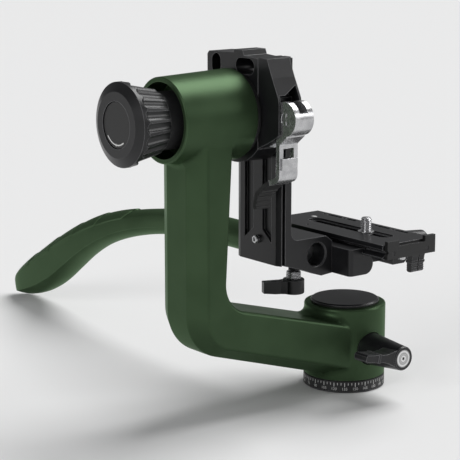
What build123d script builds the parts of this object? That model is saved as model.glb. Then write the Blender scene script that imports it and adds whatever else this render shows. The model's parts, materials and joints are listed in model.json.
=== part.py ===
"""Gimbal tripod head with a long curved steering handle.

Frame: the origin is on the pan axis at the bottom face of the base, where the
tripod's 3/8 inch screw enters. Z is the pan axis, up. X is along the tilt axis,
from the tilt knob towards the lens plate. Y points forward along the lens.
All sizes are in millimetres.
"""
from build123d import *
import os
from math import acos, atan2, cos, degrees, hypot, radians, sin, sqrt, tan

os.makedirs("parts", exist_ok=True)

# ---------------------------------------------------------------- clearances
FIT = 0.05            # radial clearance of a shaft in its bush or bearing
SLIDE = 0.15          # clearance on each side of a sliding dovetail
GAP = 0.3             # running gap between faces that turn past each other

# ---------------------------------------------------------------- pan base
BASE_R = 23.7         # radius of the base and of the arm's foot
BASE_H = 7.0          # height of the turned base
BASE_RIM = 0.9        # height of the bare rim below the scale
SCALE_WALL = 2.2      # wall of the graduated ring
TRIPOD_R = 4.0        # 3/8 inch-16 thread, core radius
TRIPOD_DEPTH = 15.0   # depth of the tripod thread
PAN_SHAFT_R = 8.0
PAN_FLANGE_R = 13.8
PAN_FLANGE_T = 3.5

# ---------------------------------------------------------------- bearings
BEARING_R = 14.0      # outer radius of the shielded bearings
BEARING_W = 8.0
NUT_R = 12.0
NUT_T = 3.6

# ---------------------------------------------------------------- arm
FOOT_TOP = 49.4       # top face of the arm's foot
FOOT_EDGE = 1.2       # rounded top edge of the foot
ARM_OUTER_X = -120.8  # narrow outer face of the upright
ARM_HALF = 20.0       # half width of the arm across Y
ARM_NARROW = 8.7      # half width of the narrow outer face
ARM_BEVEL = 6.3       # depth of the bevels beside the narrow face
ARM_FRONT = 17.6      # width of the flat front face where the upright meets the housing
ARM_LEAN = 3.2        # lean of the upright's inner edge, degrees
ELBOW_R = 26.5        # outer radius of the elbow
INNER_R = 17.0        # inner radius of the elbow
UNDER_SLOPE = 16.8    # fall of the lower arm's underside towards the foot, degrees
OVER_SLOPE = 15.0     # fall of its upper face, degrees
UNDER_Z = 4.4         # height of the underside's line where it would reach the pan axis
OVER_Z = 36.7         # height of the upper face's line there
ARM_ROUND = 2.0       # rounding of the casting's long edges
ARM_BLEND = 4.0       # fillet where the limb meets the foot and the housing
HOUSING_X0 = -130.3   # open end of the tilt housing
HOUSING_X1 = -83.8    # lens end of the tilt housing
HOUSING_R0 = 22.9
HOUSING_R1 = 24.6
HOUSING_EDGE = 1.4
TILT_Z = 165.8        # height of the tilt axis
KNOB_WELL_R = 20.3    # open well behind the tilt knob
KNOB_WELL = 13.0
WELL_FLOOR = 4.6

# ---------------------------------------------------------------- cap
CAP_R = 19.9
CAP_PROUD = 2.0
CAP_SPIGOT_R = 18.2
CAP_SPIGOT = 4.2

# ---------------------------------------------------------------- tilt knob
KNOB_FACE_X = -158.4
KNOB_FACE_R = 17.2
KNOB_RIM_X = -156.0
KNOB_R = 22.2
KNOB_RIM_T = 4.2
GRIP_R0 = 20.6
GRIP_R1 = 17.4
GRIP_X1 = -135.4
FLUTES = 20
FLUTE_R = 3.4
FLUTE_D = 1.2         # depth of a flute in the grip
FLUTE_NOSE = 1.0      # from the rim's back to the centre of a flute's round end
SLEEVE_R = 15.4
LOCK_SCREW_R = 5.0
DIAL_R = 12.3         # inset disc on the knob's face
DIAL_RECESS = 0.5

# ---------------------------------------------------------------- pan lock
LOCK_Z = 25.4
LOCK_FACE_Y = -50.1
LOCK_R_BACK = 9.4
LOCK_R_FACE = 6.9
LOCK_DISC_R = 5.1
LOCK_STUD_R = 3.0
WING_LENGTH = 28.0    # from the knob's axis to the wing's tip
WING_DEPTH = 10.6     # along the knob's axis
WING_T = 4.4
LOCK_WING_ANGLE = 171.0
WING_RIDGE = 0.62     # place of the raised band along a wing

# ---------------------------------------------------------------- tilt shaft
TILT_SHAFT_R = 8.0
TILT_FLANGE_R = 23.0
TILT_FLANGE_T = 1.9

# ---------------------------------------------------------------- rail and bracket
RAIL_FACE_X = -65.3   # slotted face of the dovetail rail
RAIL_FACE_HALF = 15.6
RAIL_HALF = 19.0      # half width over the dovetail
RAIL_BEVEL = 1.4
RAIL_EDGE = 0.3
RAIL_T = 3.3
GROOVE_HALF = 17.2    # half width at the bottom of the V groove
LEG_T = 4.2
LEG_HALF = 19.8
LEG_TOP = 195.8
LEG_FOOT = 81.8
CHANNEL_HALF = 11.7
CHANNEL_D = 1.9
RIB_HALF = 3.8
SHELF_TOP = 95.3      # top of the bracket's horizontal limb
SHELF_CORNER_R = 5.0
SHELF_END_X = -28.0
SOCKET_X = -39.2      # bore that takes the handle
SOCKET_Z = 85.4
SOCKET_R = 6.5
BOSS_BOTTOM = 73.0

# ---------------------------------------------------------------- swing clamp
CLAMP_T = 15.7        # body thickness along the tilt axis
CLAMP_TOP = 198.3
CLAMP_FIXED_Y = 24.2
CLAMP_FREE_Y = -19.9
JAW_TOP = 197.0
JAW_BOTTOM = 157.0
JAW_TOP_Y = -27.2
JAW_KNEE_Y = -31.6
JAW_KNEE_Z = 187.4
JAW_OUT_Y = -37.4
JAW_HIP_Z = 176.8
LEVER_W = 12.4
LEVER_PIN_Y = -41.6
CAM_R = 9.1           # radius of the cam's round back
CAM_THROW = 1.4       # how far the cam's centre lies off its pin
BOLT_R = 2.4
FRAME_Y = -36.4       # front of the lever's window frame
FRAME_T = 3.0
FRAME_TOP = 152.6
FRAME_BOTTOM = 134.0
GRIP_T = 2.4
GRIP_RIBS = 5

# ---------------------------------------------------------------- plate clamp
PLATE_HALF = 19.0
PLATE_TOP = 93.3
PLATE_BOTTOM = 85.2
PLATE_FLANGE = 3.2    # height of the dovetail flange
PLATE_NECK = 16.2     # half width at the bottom of the V groove
PLATE_Y0 = -51.4
PLATE_Y1 = 46.6
PLATE_STOP_T = 2.3    # thickness of the end stops
PLATE_STOP_TOP = 95.3
CLAMP_BLOCK_HALF = 35.2
CLAMP_BLOCK_BOTTOM = 73.8
CLAMP_BLOCK_TOP = 89.0
CLAMP_BLOCK_W = 17.0
BRIDGE_HALF = 15.0
JAW_BLOCK_W = 8.0
CLAMP_SCREW_Z = 77.4
CLAMP_SCREW_R = 2.5
CLAMP_KNOB_X0 = 30.5
CLAMP_KNOB_X1 = 62.0
CLAMP_KNOB_R0 = 8.6
CLAMP_KNOB_R1 = 6.2
CLAMP_WING_LENGTH = 18.6

# ---------------------------------------------------------------- camera screw
CAMERA_SCREW_R = 3.175
CAMERA_SCREW_TOP = 101.4
CAMERA_SCREW_Y = -17.2

# ---------------------------------------------------------------- handle
HANDLE_START_Y = 21.0
HANDLE_BEND_Y = 72.0  # where the straight rod begins to bend
HANDLE_BEND_R = 343.0
HANDLE_DROOP = 30.3   # slope of the grip's end, degrees
# distance along the centre line, then the section there: top, upper crease x and z,
# bulge of the side facet, lower crease x and z, depth of the keel
HANDLE_SHAPE = (
    (51.0, 8.4, 6.88, 4.82, 1.52, 6.88, -4.82, 8.4),
    (85.0, 8.1, 6.9, 4.9, 0.7, 7.6, -3.4, 8.1),
    (110.0, 8.0, 6.9, 4.6, 0.3, 8.0, -2.8, 8.0),
    (132.0, 8.6, 7.0, 4.5, 0.2, 8.4, -2.9, 8.1),
    (150.0, 9.8, 7.2, 4.8, 0.2, 8.7, -3.4, 8.3),
    (166.0, 10.6, 7.5, 5.1, 0.2, 9.1, -4.3, 8.7),
    (181.0, 11.0, 7.8, 5.3, 0.2, 9.5, -5.6, 9.6),
    (204.0, 11.2, 8.1, 5.8, 0.2, 10.0, -8.1, 11.9),
    (225.0, 11.5, 8.3, 6.3, 0.2, 10.4, -10.2, 14.7),
    (245.0, 11.8, 8.4, 6.8, 0.2, 10.6, -10.9, 16.4),
    (262.0, 12.0, 8.3, 7.1, 0.2, 10.5, -9.6, 15.5),
    (275.0, 11.9, 8.0, 7.2, 0.2, 10.1, -7.6, 13.0),
    (286.0, 11.5, 7.4, 7.0, 0.2, 9.3, -5.4, 9.7),
    (293.0, 10.6, 6.3, 6.6, 0.2, 8.0, -3.8, 6.4),
    (297.0, 9.3, 4.8, 6.0, 0.2, 6.2, -2.6, 3.7),
    (298.6, 8.0, 3.4, 5.4, 0.2, 4.6, -1.8, 2.4))
SHINGLES = (133.0, 165.6, 196.4, 227.6, 260.0, 290.0)
SHINGLE_STEP = 1.3

# ---------------------------------------------------------------- handle lock
PINCH_HUB_R = 6.2
PINCH_HUB_Z0 = 59.9
PINCH_HUB_Z1 = 68.2
PINCH_ARM = 18.0
PINCH_STUD_R = 3.0
PINCH_ANGLE = 156.0

# ---------------------------------------------------------------- worked out: pan base
PAN_GAP_Z = BASE_H + GAP                       # underside of the turning arm
FLANGE_TOP = BASE_H + PAN_FLANGE_T
LOWER_BEARING_Z = FLANGE_TOP + 1.2
UPPER_BEARING_Z = LOCK_Z + (LOCK_Z - LOWER_BEARING_Z - BEARING_W)
UPPER_BEARING_TOP = UPPER_BEARING_Z + BEARING_W
PAN_SHAFT_TOP = UPPER_BEARING_TOP + NUT_T + 0.8
PAN_SCREW_R = 1.5
PAN_SCREW_SPREAD = 7.4
PAN_SCREW_HEAD = 3.0

# ---------------------------------------------------------------- worked out: arm
PAD_R = 4.0
LOCK_SEAT = 2.0
ARM_REACH_X = -6.0    # where the lower arm ends inside the foot
WELL_FLOOR_X = HOUSING_X0 + KNOB_WELL
NUT_WELL_X = WELL_FLOOR_X + WELL_FLOOR
INNER_BEARING_X = NUT_WELL_X + 1.0 + NUT_T + 0.4
OUTER_BEARING_X = HOUSING_X1 - 1.6 - BEARING_W

# ---------------------------------------------------------------- worked out: tilt shaft
FLANGE_X0 = HOUSING_X1 + GAP
CLAMP_X0 = FLANGE_X0 + TILT_FLANGE_T
CLAMP_X1 = CLAMP_X0 + CLAMP_T
CLAMP_SCREW_SPREAD = 11.0
FLANGE_SCREW_R = 2.0
FLANGE_SCREW_HEAD = 5.0

# ---------------------------------------------------------------- worked out: rail and bracket
RAIL_BACK_X = RAIL_FACE_X + RAIL_T
LEG_X1 = RAIL_BACK_X + LEG_T
STOP_SCREW_R = 1.5
STOP_SCREW_Z = 94.6
SHELF_SCREW_R = 2.0
SHELF_SCREW_Y = 15.2
SHELF_SCREW_Z = 80.0

# ---------------------------------------------------------------- worked out: swing clamp
TOOTH_X0 = RAIL_FACE_X + RAIL_BEVEL + RAIL_EDGE
JAW_TOOTH = [
    (TOOTH_X0 + 0.25, RAIL_HALF + SLIDE),
    (RAIL_BACK_X - 0.25, GROOVE_HALF + 0.55),
    (RAIL_BACK_X - 0.15, GROOVE_HALF + 0.55),
    (RAIL_BACK_X - 0.15, RAIL_HALF + SLIDE),
]
CLAMP_DISC_R = 26.4
JAW_LOW_Z = TILT_Z - 17.0
HOOK_Y0 = -6.8
HOOK_Y1 = 0.8
HOOK_H = 2.0
PIN_Z = TILT_Z + 0.8
LEVER_X0 = CLAMP_X0 + 1.5
LEVER_X1 = LEVER_X0 + LEVER_W
BOLT_X = (LEVER_X0 + LEVER_X1) / 2
GUIDE_ZS = (TILT_Z - 14.8, TILT_Z + 15.0)
GUIDE_R = 1.6
GUIDE_IN_Y = -CLAMP_SCREW_SPREAD - FLANGE_SCREW_R - 0.5
SPRING_ZS = (TILT_Z - 7.0, TILT_Z + 8.4)
SPRING_R = 1.7
SPRING_POCKET = 6.0
JAW_IN_Y = CLAMP_FREE_Y - GAP
WEB_T = 1.2
JAW_X0 = LEVER_X0 - 0.2 - WEB_T
JAW_X1 = LEVER_X1 + 0.3 + WEB_T
SEAT_Y = LEVER_PIN_Y + CAM_R + CAM_THROW + 0.3
SPRING_WIRE = 0.35
EYE_W = 5.0
EYE_R = 2.9
PIN_R = 1.5
PIN_HEAD_R = 3.9
FRAME_BACK = FRAME_Y + FRAME_T
LIP_TIP_Y = -27.8     # where the bright lever ends and the black grip begins
LIP_TIP_Z = TILT_Z - 34.6
WINDOW_HALF = 3.6
BUTTON_Z0 = TILT_Z - 26.2
BUTTON_H = 5.6
BUTTON_HALF = 5.2

# ---------------------------------------------------------------- worked out: plate clamp
SLOT_R = 3.3
SLOT_LENGTH = 64.0
SLOT_MID_Y = -3.5
HEAD_SLOT_R = 6.6
RECESS_HALF = 5.0
RECESS_D = 1.1
SCREW_HEAD_T = 2.8
SIDE_SLOT_X = 15.6
SIDE_SLOTS = ((27.0, 12.5), (12.5, 8.5), (-14.0, 12.5), (-30.5, 11.0))
PLATE_HOLE_R = 1.0
PLATE_HOLES = ((SIDE_SLOT_X, 36.6), (SIDE_SLOT_X, 18.7), (SIDE_SLOT_X, -23.0), (-13.0, 36.6), (-13.0, 18.7))
OVAL_AT = (5.9, 34.6)
OVAL_LENGTH = 4.4
OVAL_R = 1.5
PLATE_SCREW_R = 1.25
PLATE_SCREW_X = 12.8
PLATE_SCREW_Z = 88.2
STOP_PIN_R = 2.2
STOP_PIN_YS = (PLATE_Y0 + 4.8, PLATE_Y1 - 4.8)
TAB_X0 = -8.8
TAB_X1 = 11.2
BLOCK_X0 = SHELF_END_X
BLOCK_X1 = BLOCK_X0 + CLAMP_BLOCK_W
BLOCK_ROUND = 2.4     # rounding of the upright corners at the ends
BRIDGE_END_X = 14.5
GUIDE_ROD_Y = 9.5
GUIDE_ROD_R = 1.6
JAW_OUT_X = PLATE_HALF + JAW_BLOCK_W
CLAMP_JAW_HALF = 24.0

# ---------------------------------------------------------------- worked out: camera screw
SCREW_NECK_R = 2.6
COLLAR_TOP = PLATE_TOP - RECESS_D + 1.4

# ---------------------------------------------------------------- worked out: handle
SPIGOT_START_Y = -9.0
SPIGOT_END_Y = 66.0


# ================================================================ helpers
TURN = {"x": Rot(0, 90, 0), "y": Rot(-90, 0, 0), "z": Rot(0, 0, 0)}


def place(axis, start, at):
    """Position a solid built along Z so that it starts at `start` along `axis`."""
    u, v = at
    spots = {"x": (start, u, v), "y": (u, start, v), "z": (u, v, start)}
    return Pos(*spots[axis]) * TURN[axis]


def rod(axis, radius, start, end, at=(0, 0)):
    """Cylinder along an axis, between two coordinates."""
    low, high = min(start, end), max(start, end)
    tall = (Align.CENTER, Align.CENTER, Align.MIN)
    return place(axis, low, at) * Cylinder(radius, high - low, align=tall)


def tube(axis, outer, inner, start, end, at=(0, 0)):
    """Ring or sleeve along an axis."""
    low, high = min(start, end), max(start, end)
    return rod(axis, outer, low, high, at) - rod(axis, inner, low - 1, high + 1, at)


def block(x0, x1, y0, y1, z0, z1):
    """Box between two corners."""
    middle = Pos((x0 + x1) / 2, (y0 + y1) / 2, (z0 + z1) / 2)
    return middle * Box(abs(x1 - x0), abs(y1 - y0), abs(z1 - z0))


def turned(axis, profile, at=(0, 0)):
    """Lathe work: profile is a list of (coordinate along the axis, radius)."""
    outline = [(0, profile[0][0])] + [(r, s) for s, r in profile] + [(0, profile[-1][0])]
    with BuildPart() as work:
        with BuildSketch(Plane.XZ):
            with BuildLine():
                Polyline(*outline, close=True)
            make_face()
        revolve(axis=Axis.Z)
    return place(axis, 0, at) * work.part


def prism(plane, points, start, end):
    """Closed outline drawn on a coordinate plane and pulled between two coordinates.

    plane "xy" is pulled along Z, "xz" along Y and "yz" along X.
    """
    frames = {
        "xy": Plane.XY.offset(min(start, end)),
        "xz": Plane((0, min(start, end), 0), x_dir=(1, 0, 0), z_dir=(0, -1, 0)),
        "yz": Plane((min(start, end), 0, 0), x_dir=(0, 1, 0), z_dir=(1, 0, 0)),
    }
    reach = abs(end - start)
    if plane == "xz":
        reach = -reach
    face = frames[plane] * make_face(Polyline(*points, close=True))
    return extrude(face, amount=reach)


def slot(plane, centre, length, radius, start, end, angle=0.0):
    """Round-ended bar; its long direction is the plane's first axis turned by angle."""
    u, v = centre
    du = (length / 2 - radius) * cos(radians(angle))
    dv = (length / 2 - radius) * sin(radians(angle))
    axis = {"xy": "z", "xz": "y", "yz": "x"}[plane]
    ends = [(u - du, v - dv), (u + du, v + dv)]
    su = -radius * sin(radians(angle))
    sv = radius * cos(radians(angle))
    corners = [
        (ends[0][0] - su, ends[0][1] - sv),
        (ends[1][0] - su, ends[1][1] - sv),
        (ends[1][0] + su, ends[1][1] + sv),
        (ends[0][0] + su, ends[0][1] + sv),
    ]
    bar = prism(plane, corners, start, end)
    for spot in ends:
        bar = bar + rod(axis, radius, start, end, spot)
    return bar


def along_x(radius, start, end, y, z):
    return rod("x", radius, start, end, (y, z))


def along_y(radius, start, end, x, z):
    return rod("y", radius, start, end, (x, z))


def along_z(radius, start, end, x=0.0, y=0.0):
    return rod("z", radius, start, end, (x, y))


def joined(*pieces):
    """Fuse pieces into one clean solid."""
    total = pieces[0]
    for piece in pieces[1:]:
        total = total + piece
    return total.clean()


def save(name, shape):
    """Write one sub-part, as one solid or as a group of separate solids."""
    solids = shape.solids()
    whole = solids[0] if len(solids) == 1 else Compound(children=list(solids))
    whole.label = name
    export_step(whole, f"parts/{name}.step")
    print(f"{name}: {len(solids)} solid(s), {sum(s.volume for s in solids):.0f} mm3")


def cap_screw(axis, radius, start, end, at, head_end, head=1.7, head_h=None, hex_r=None):
    """Socket screw from start to end with its head at `head_end` (start or end side)."""
    head_h = head_h or radius * 1.6
    hex_r = hex_r or radius * 0.9
    low, high = min(start, end), max(start, end)
    shank = rod(axis, radius, low, high, at)
    if head_end == "high":
        head_body = rod(axis, radius * head, high, high + head_h, at)
        socket_from = high + head_h * 0.4
        socket = place(axis, socket_from, at) * extrude(RegularPolygon(hex_r, 6), head_h)
    else:
        head_body = rod(axis, radius * head, low - head_h, low, at)
        socket_from = low - head_h * 1.4
        socket = place(axis, socket_from, at) * extrude(RegularPolygon(hex_r, 6), head_h)
    return shank + head_body - socket


# ================================================================ pan base
def pan_base():
    """Turned foot with the tripod thread and a seat for the graduated ring."""
    body = turned("z", [
        (0, BASE_R - 0.8), (0.5, BASE_R), (BASE_RIM, BASE_R),
        (BASE_RIM, BASE_R - SCALE_WALL), (BASE_H, BASE_R - SCALE_WALL)])
    body = body - along_z(TRIPOD_R, -1, BASE_H + 1)
    grip_ring = tube("z", BASE_R - 4.5, BASE_R - 6.0, -1, 0.6)
    for spot in GridLocations(2 * PAN_SCREW_SPREAD, 2 * PAN_SCREW_SPREAD, 2, 2):
        x, y, _ = spot.position
        body = body - along_z(PAN_SCREW_R + FIT, -1, BASE_H + 1, x, y)
        body = body - along_z(PAN_SCREW_R * 1.7 + FIT, -1, PAN_SCREW_HEAD, x, y)
    return body - grip_ring


def pan_flange_screws():
    """Four socket screws that hold the pan shaft on the base."""
    group = None
    for spot in GridLocations(2 * PAN_SCREW_SPREAD, 2 * PAN_SCREW_SPREAD, 2, 2):
        x, y, _ = spot.position
        screw = cap_screw("z", PAN_SCREW_R, PAN_SCREW_HEAD, FLANGE_TOP - 0.2, (x, y), "low",
                          head_h=2.2)
        group = screw if group is None else group + screw
    return group


def scale_ring():
    """Graduated ring let into the base."""
    ring = tube("z", BASE_R, BASE_R - SCALE_WALL, BASE_RIM, BASE_H)
    outer = ring.edges().filter_by(GeomType.CIRCLE).sort_by(SortBy.RADIUS)[-2:]
    return chamfer(outer, 0.25)


def pan_shaft():
    """Steel shaft with its flange, carrying the rest of the tripod thread."""
    shaft = turned("z", [
        (BASE_H, PAN_FLANGE_R), (FLANGE_TOP, PAN_FLANGE_R), (FLANGE_TOP, PAN_SHAFT_R + 1.6),
        (LOWER_BEARING_Z, PAN_SHAFT_R + 1.6), (LOWER_BEARING_Z, PAN_SHAFT_R),
        (UPPER_BEARING_TOP, PAN_SHAFT_R), (UPPER_BEARING_TOP, PAN_SHAFT_R - 1),
        (PAN_SHAFT_TOP - 0.6, PAN_SHAFT_R - 1), (PAN_SHAFT_TOP, PAN_SHAFT_R - 1.6)])
    shaft = shaft - along_z(TRIPOD_R, 0, TRIPOD_DEPTH)
    for spot in GridLocations(2 * PAN_SCREW_SPREAD, 2 * PAN_SCREW_SPREAD, 2, 2):
        x, y, _ = spot.position
        shaft = shaft - along_z(PAN_SCREW_R, 0, FLANGE_TOP + 1, x, y)
    return shaft


def bearing(axis, start, shaft_r):
    """Shielded ball bearing as one ring with its two shield grooves."""
    ring = tube(axis, BEARING_R, shaft_r + FIT, start, start + BEARING_W)
    middle = (BEARING_R + shaft_r) / 2
    for face, deep in ((start, 0.6), (start + BEARING_W, -0.6)):
        groove = tube(axis, middle + 1.7, middle - 1.7, face - 1 if deep > 0 else face + deep,
                      face + deep if deep > 0 else face + 1)
        ring = ring - groove
    return ring


def bearing_along_x(start):
    """Bearing of the tilt shaft."""
    return Pos(0, 0, TILT_Z) * bearing("x", start, TILT_SHAFT_R)


def lock_nut(axis, start, bore_r):
    """Slotted ring nut that holds a shaft in its bearings."""
    nut = tube(axis, NUT_R, bore_r, start, start + NUT_T)
    for turn in range(4):
        angle = radians(90 * turn + 45)
        u, v = NUT_R * cos(angle), NUT_R * sin(angle)
        nut = nut - rod(axis, 1.5, start - 1, start + NUT_T + 1, (u, v))
    return nut


# ================================================================ arm
def rounded_corner(corner, back, ahead, radius):
    """Tangent points and middle of an arc that rounds a corner.

    `back` and `ahead` are unit vectors from the corner along its two sides.
    """
    half = acos(back[0] * ahead[0] + back[1] * ahead[1]) / 2
    run = radius / tan(half)
    start = (corner[0] + run * back[0], corner[1] + run * back[1])
    end = (corner[0] + run * ahead[0], corner[1] + run * ahead[1])
    out = (back[0] + ahead[0], back[1] + ahead[1])
    size = hypot(*out)
    reach = radius / sin(half) - radius
    middle = (corner[0] + reach * out[0] / size, corner[1] + reach * out[1] / size)
    return start, middle, end


def arm_outline(inset):
    """Side outline of the arm; `inset` pulls in the outer edge for the bevelled faces."""
    under = radians(UNDER_SLOPE)
    over = radians(OVER_SLOPE)
    lean = radians(ARM_LEAN)
    outer_x = ARM_OUTER_X + inset
    inner_top_x = ARM_OUTER_X + ARM_BEVEL + ARM_FRONT
    under_line = UNDER_Z + inset / cos(under)

    heel = (outer_x, under_line - outer_x * tan(under))
    top_x = (inner_top_x - tan(lean) * (TILT_Z - OVER_Z)) / (1 + tan(lean) * tan(over))
    crook = (top_x, OVER_Z - top_x * tan(over))

    a1, a_mid, a2 = rounded_corner(heel, (0, 1), (cos(under), -sin(under)), ELBOW_R - inset)
    b1, b_mid, b2 = rounded_corner(crook, (cos(over), -sin(over)), (sin(lean), cos(lean)), INNER_R)
    foot_low = (ARM_REACH_X, under_line - ARM_REACH_X * tan(under))
    foot_high = (ARM_REACH_X, OVER_Z - ARM_REACH_X * tan(over))
    line = [
        Line((outer_x, TILT_Z), a1),
        ThreePointArc(a1, a_mid, a2),
        Line(a2, foot_low),
        Line(foot_low, foot_high),
        Line(foot_high, b1),
        ThreePointArc(b1, b_mid, b2),
        Line(b2, (inner_top_x, TILT_Z)),
        Line((inner_top_x, TILT_Z), (outer_x, TILT_Z)),
    ]
    return make_face(Curve() + line)


def on_foot_side(edge):
    """True for an edge that lies on the foot's cylinder, between its ends."""
    spots = [edge.position_at(part) for part in (0.1, 0.5, 0.9)]
    return all(abs(hypot(p.X, p.Y) - BASE_R) < 0.05 and PAN_GAP_Z + 1 < p.Z < FOOT_TOP - 1.5
               for p in spots)


def on_housing_side(edge):
    """True for an edge that lies on the housing's cone, between its ends."""
    start = HOUSING_X0 + 0.6
    slope = (HOUSING_R1 - HOUSING_R0) / (HOUSING_X1 - HOUSING_EDGE - start)
    spots = [edge.position_at(part) for part in (0.1, 0.5, 0.9)]
    return all(abs(hypot(p.Y, p.Z - TILT_Z) - HOUSING_R0 - slope * (p.X - start)) < 0.06
               and HOUSING_X0 + 2 < p.X < HOUSING_X1 - 2 for p in spots)


def gimbal_arm():
    """The casting: foot, sloping lower arm, elbow, upright and tilt housing."""
    def at_y(face, y):
        return Plane((0, y, 0), x_dir=(1, 0, 0), z_dir=(0, -1, 0)) * face

    full = arm_outline(0)
    slim = arm_outline(ARM_BEVEL)
    core = extrude(at_y(full, -ARM_NARROW), amount=-2 * ARM_NARROW)
    front = loft([at_y(full, -ARM_NARROW), at_y(slim, -ARM_HALF)], ruled=True)
    back = loft([at_y(full, ARM_NARROW), at_y(slim, ARM_HALF)], ruled=True)
    foot = turned("z", [
        (PAN_GAP_Z, BASE_R - 0.3), (PAN_GAP_Z + 0.3, BASE_R), (FOOT_TOP - FOOT_EDGE, BASE_R),
        (FOOT_TOP - FOOT_EDGE * 0.3, BASE_R - FOOT_EDGE * 0.3), (FOOT_TOP, BASE_R - FOOT_EDGE)])
    housing = turned("x", [
        (HOUSING_X0, HOUSING_R0 - 0.6), (HOUSING_X0 + 0.6, HOUSING_R0),
        (HOUSING_X1 - HOUSING_EDGE, HOUSING_R1), (HOUSING_X1, HOUSING_R1 - HOUSING_EDGE)],
        (0, TILT_Z))
    limb = joined(core, front, back)
    long_edges = [e for e in limb.edges()
                  if abs(e.tangent_at(0.5).Y) < 0.3 and e.length > 10
                  and e.center().X < ARM_REACH_X - 1 and e.center().Z < TILT_Z - 1]
    arm = joined(fillet(long_edges, ARM_ROUND), housing)
    arm = joined(arm, foot)

    # blended junctions, as in a casting
    arm = fillet([e for e in arm.edges() if on_foot_side(e)], ARM_BLEND)
    arm = fillet([e for e in arm.edges() if on_housing_side(e)], ARM_BLEND)

    # foot: shaft flange, bearing bore, nut well, cap seat
    arm = arm - along_z(PAN_FLANGE_R + GAP, 0, LOWER_BEARING_Z)
    arm = arm - along_z(BEARING_R, LOWER_BEARING_Z - 0.1, UPPER_BEARING_TOP)
    arm = arm - along_z(NUT_R + GAP + 1, UPPER_BEARING_TOP - 0.1, FOOT_TOP)
    arm = arm - along_z(CAP_SPIGOT_R + FIT, FOOT_TOP - CAP_SPIGOT - 0.1, FOOT_TOP + 1)
    arm = arm - along_y(LOCK_STUD_R + FIT, -BASE_R - 2, -BEARING_R - 3, 0, LOCK_Z)
    arm = arm - along_y(PAD_R + FIT, -BEARING_R - 4.5, -PAN_SHAFT_R, 0, LOCK_Z)
    arm = arm - along_y(LOCK_R_BACK + GAP, -BASE_R - 2, -BASE_R + LOCK_SEAT, 0, LOCK_Z)

    # housing: well for the knob, thread of the lock screw, bearing bore
    arm = arm - along_x(KNOB_WELL_R, HOUSING_X0 - 1, WELL_FLOOR_X, 0, TILT_Z)
    arm = arm - along_x(LOCK_SCREW_R + FIT, HOUSING_X0, NUT_WELL_X + 1, 0, TILT_Z)
    arm = arm - along_x(BEARING_R, NUT_WELL_X, HOUSING_X1 + 1, 0, TILT_Z)
    return arm


def base_cap():
    """Black disc that closes the foot."""
    top = FOOT_TOP + CAP_PROUD
    return turned("z", [
        (FOOT_TOP - CAP_SPIGOT, CAP_SPIGOT_R), (FOOT_TOP, CAP_SPIGOT_R),
        (FOOT_TOP, CAP_R - 0.3), (FOOT_TOP + 0.3, CAP_R),
        (top - 0.7, CAP_R), (top, CAP_R - 0.9)])


def pan_washer():
    """Low-friction washer between the base and the turning foot."""
    return tube("z", BASE_R - 1.2, PAN_FLANGE_R + 2.5, BASE_H, PAN_GAP_Z - 0.1)


def pan_brake_pad():
    """Pad that the pan lock presses on the shaft."""
    body = along_y(PAD_R, -BEARING_R - 4, -PAN_SHAFT_R - FIT, 0, LOCK_Z)
    return body - along_z(PAN_SHAFT_R + FIT, LOCK_Z - 8, LOCK_Z + 8)


# ================================================================ tilt knob
def tilt_knob():
    """Turned and fluted grip with a scalloped rim."""
    rim_back = KNOB_RIM_X + KNOB_RIM_T
    body = turned("x", [
        (KNOB_FACE_X, KNOB_FACE_R), (KNOB_RIM_X, KNOB_R), (rim_back - 0.6, KNOB_R),
        (rim_back, KNOB_R - 0.6), (rim_back, GRIP_R0), (GRIP_X1 - 0.8, GRIP_R1),
        (GRIP_X1, GRIP_R1 - 0.8)], (0, TILT_Z))
    body = body - along_x(DIAL_R + FIT, KNOB_FACE_X - 1, KNOB_FACE_X + 2.0, 0, TILT_Z)
    body = body - along_x(SLEEVE_R - 2, GRIP_X1 - 3, GRIP_X1 + 1, 0, TILT_Z)
    taper = atan2(GRIP_R0 - GRIP_R1, GRIP_X1 - rim_back)
    flute = Cylinder(FLUTE_R, GRIP_X1 - rim_back + 9, align=(Align.CENTER, Align.CENTER, Align.MIN))
    nose = Sphere(FLUTE_R)
    centre_r = GRIP_R0 + FLUTE_R - FLUTE_D
    for turn in range(FLUTES):
        lean = Pos(0, 0, TILT_Z) * Rot(360.0 * turn / FLUTES, 0, 0)
        lean = lean * Pos(rim_back + FLUTE_NOSE, 0, centre_r) * Rot(0, 90 + degrees(taper), 0)
        body = body - lean * flute
        body = body - lean * nose
    return body


def knob_dial():
    """Inset disc on the knob's face."""
    return turned("x", [
        (KNOB_FACE_X + DIAL_RECESS, DIAL_R - 0.3), (KNOB_FACE_X + DIAL_RECESS + 0.3, DIAL_R),
        (KNOB_FACE_X + 2.0, DIAL_R)], (0, TILT_Z))


def knob_sleeve():
    """Dark sleeve and lock screw behind the grip."""
    floor = WELL_FLOOR_X - GAP
    spigot = SLEEVE_R - 2.02
    return turned("x", [
        (GRIP_X1 - 3, spigot), (GRIP_X1, spigot), (GRIP_X1, SLEEVE_R),
        (floor - 1, SLEEVE_R), (floor, SLEEVE_R - 1), (floor, LOCK_SCREW_R),
        (NUT_WELL_X - 0.2, LOCK_SCREW_R), (NUT_WELL_X, LOCK_SCREW_R - 0.4)], (0, TILT_Z))


def tilt_brake_pad():
    """Friction pad between the lock screw and the end of the tilt shaft."""
    return turned("x", [
        (NUT_WELL_X + 0.1, PAD_R), (NUT_WELL_X + 0.9, PAD_R)], (0, TILT_Z))


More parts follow.
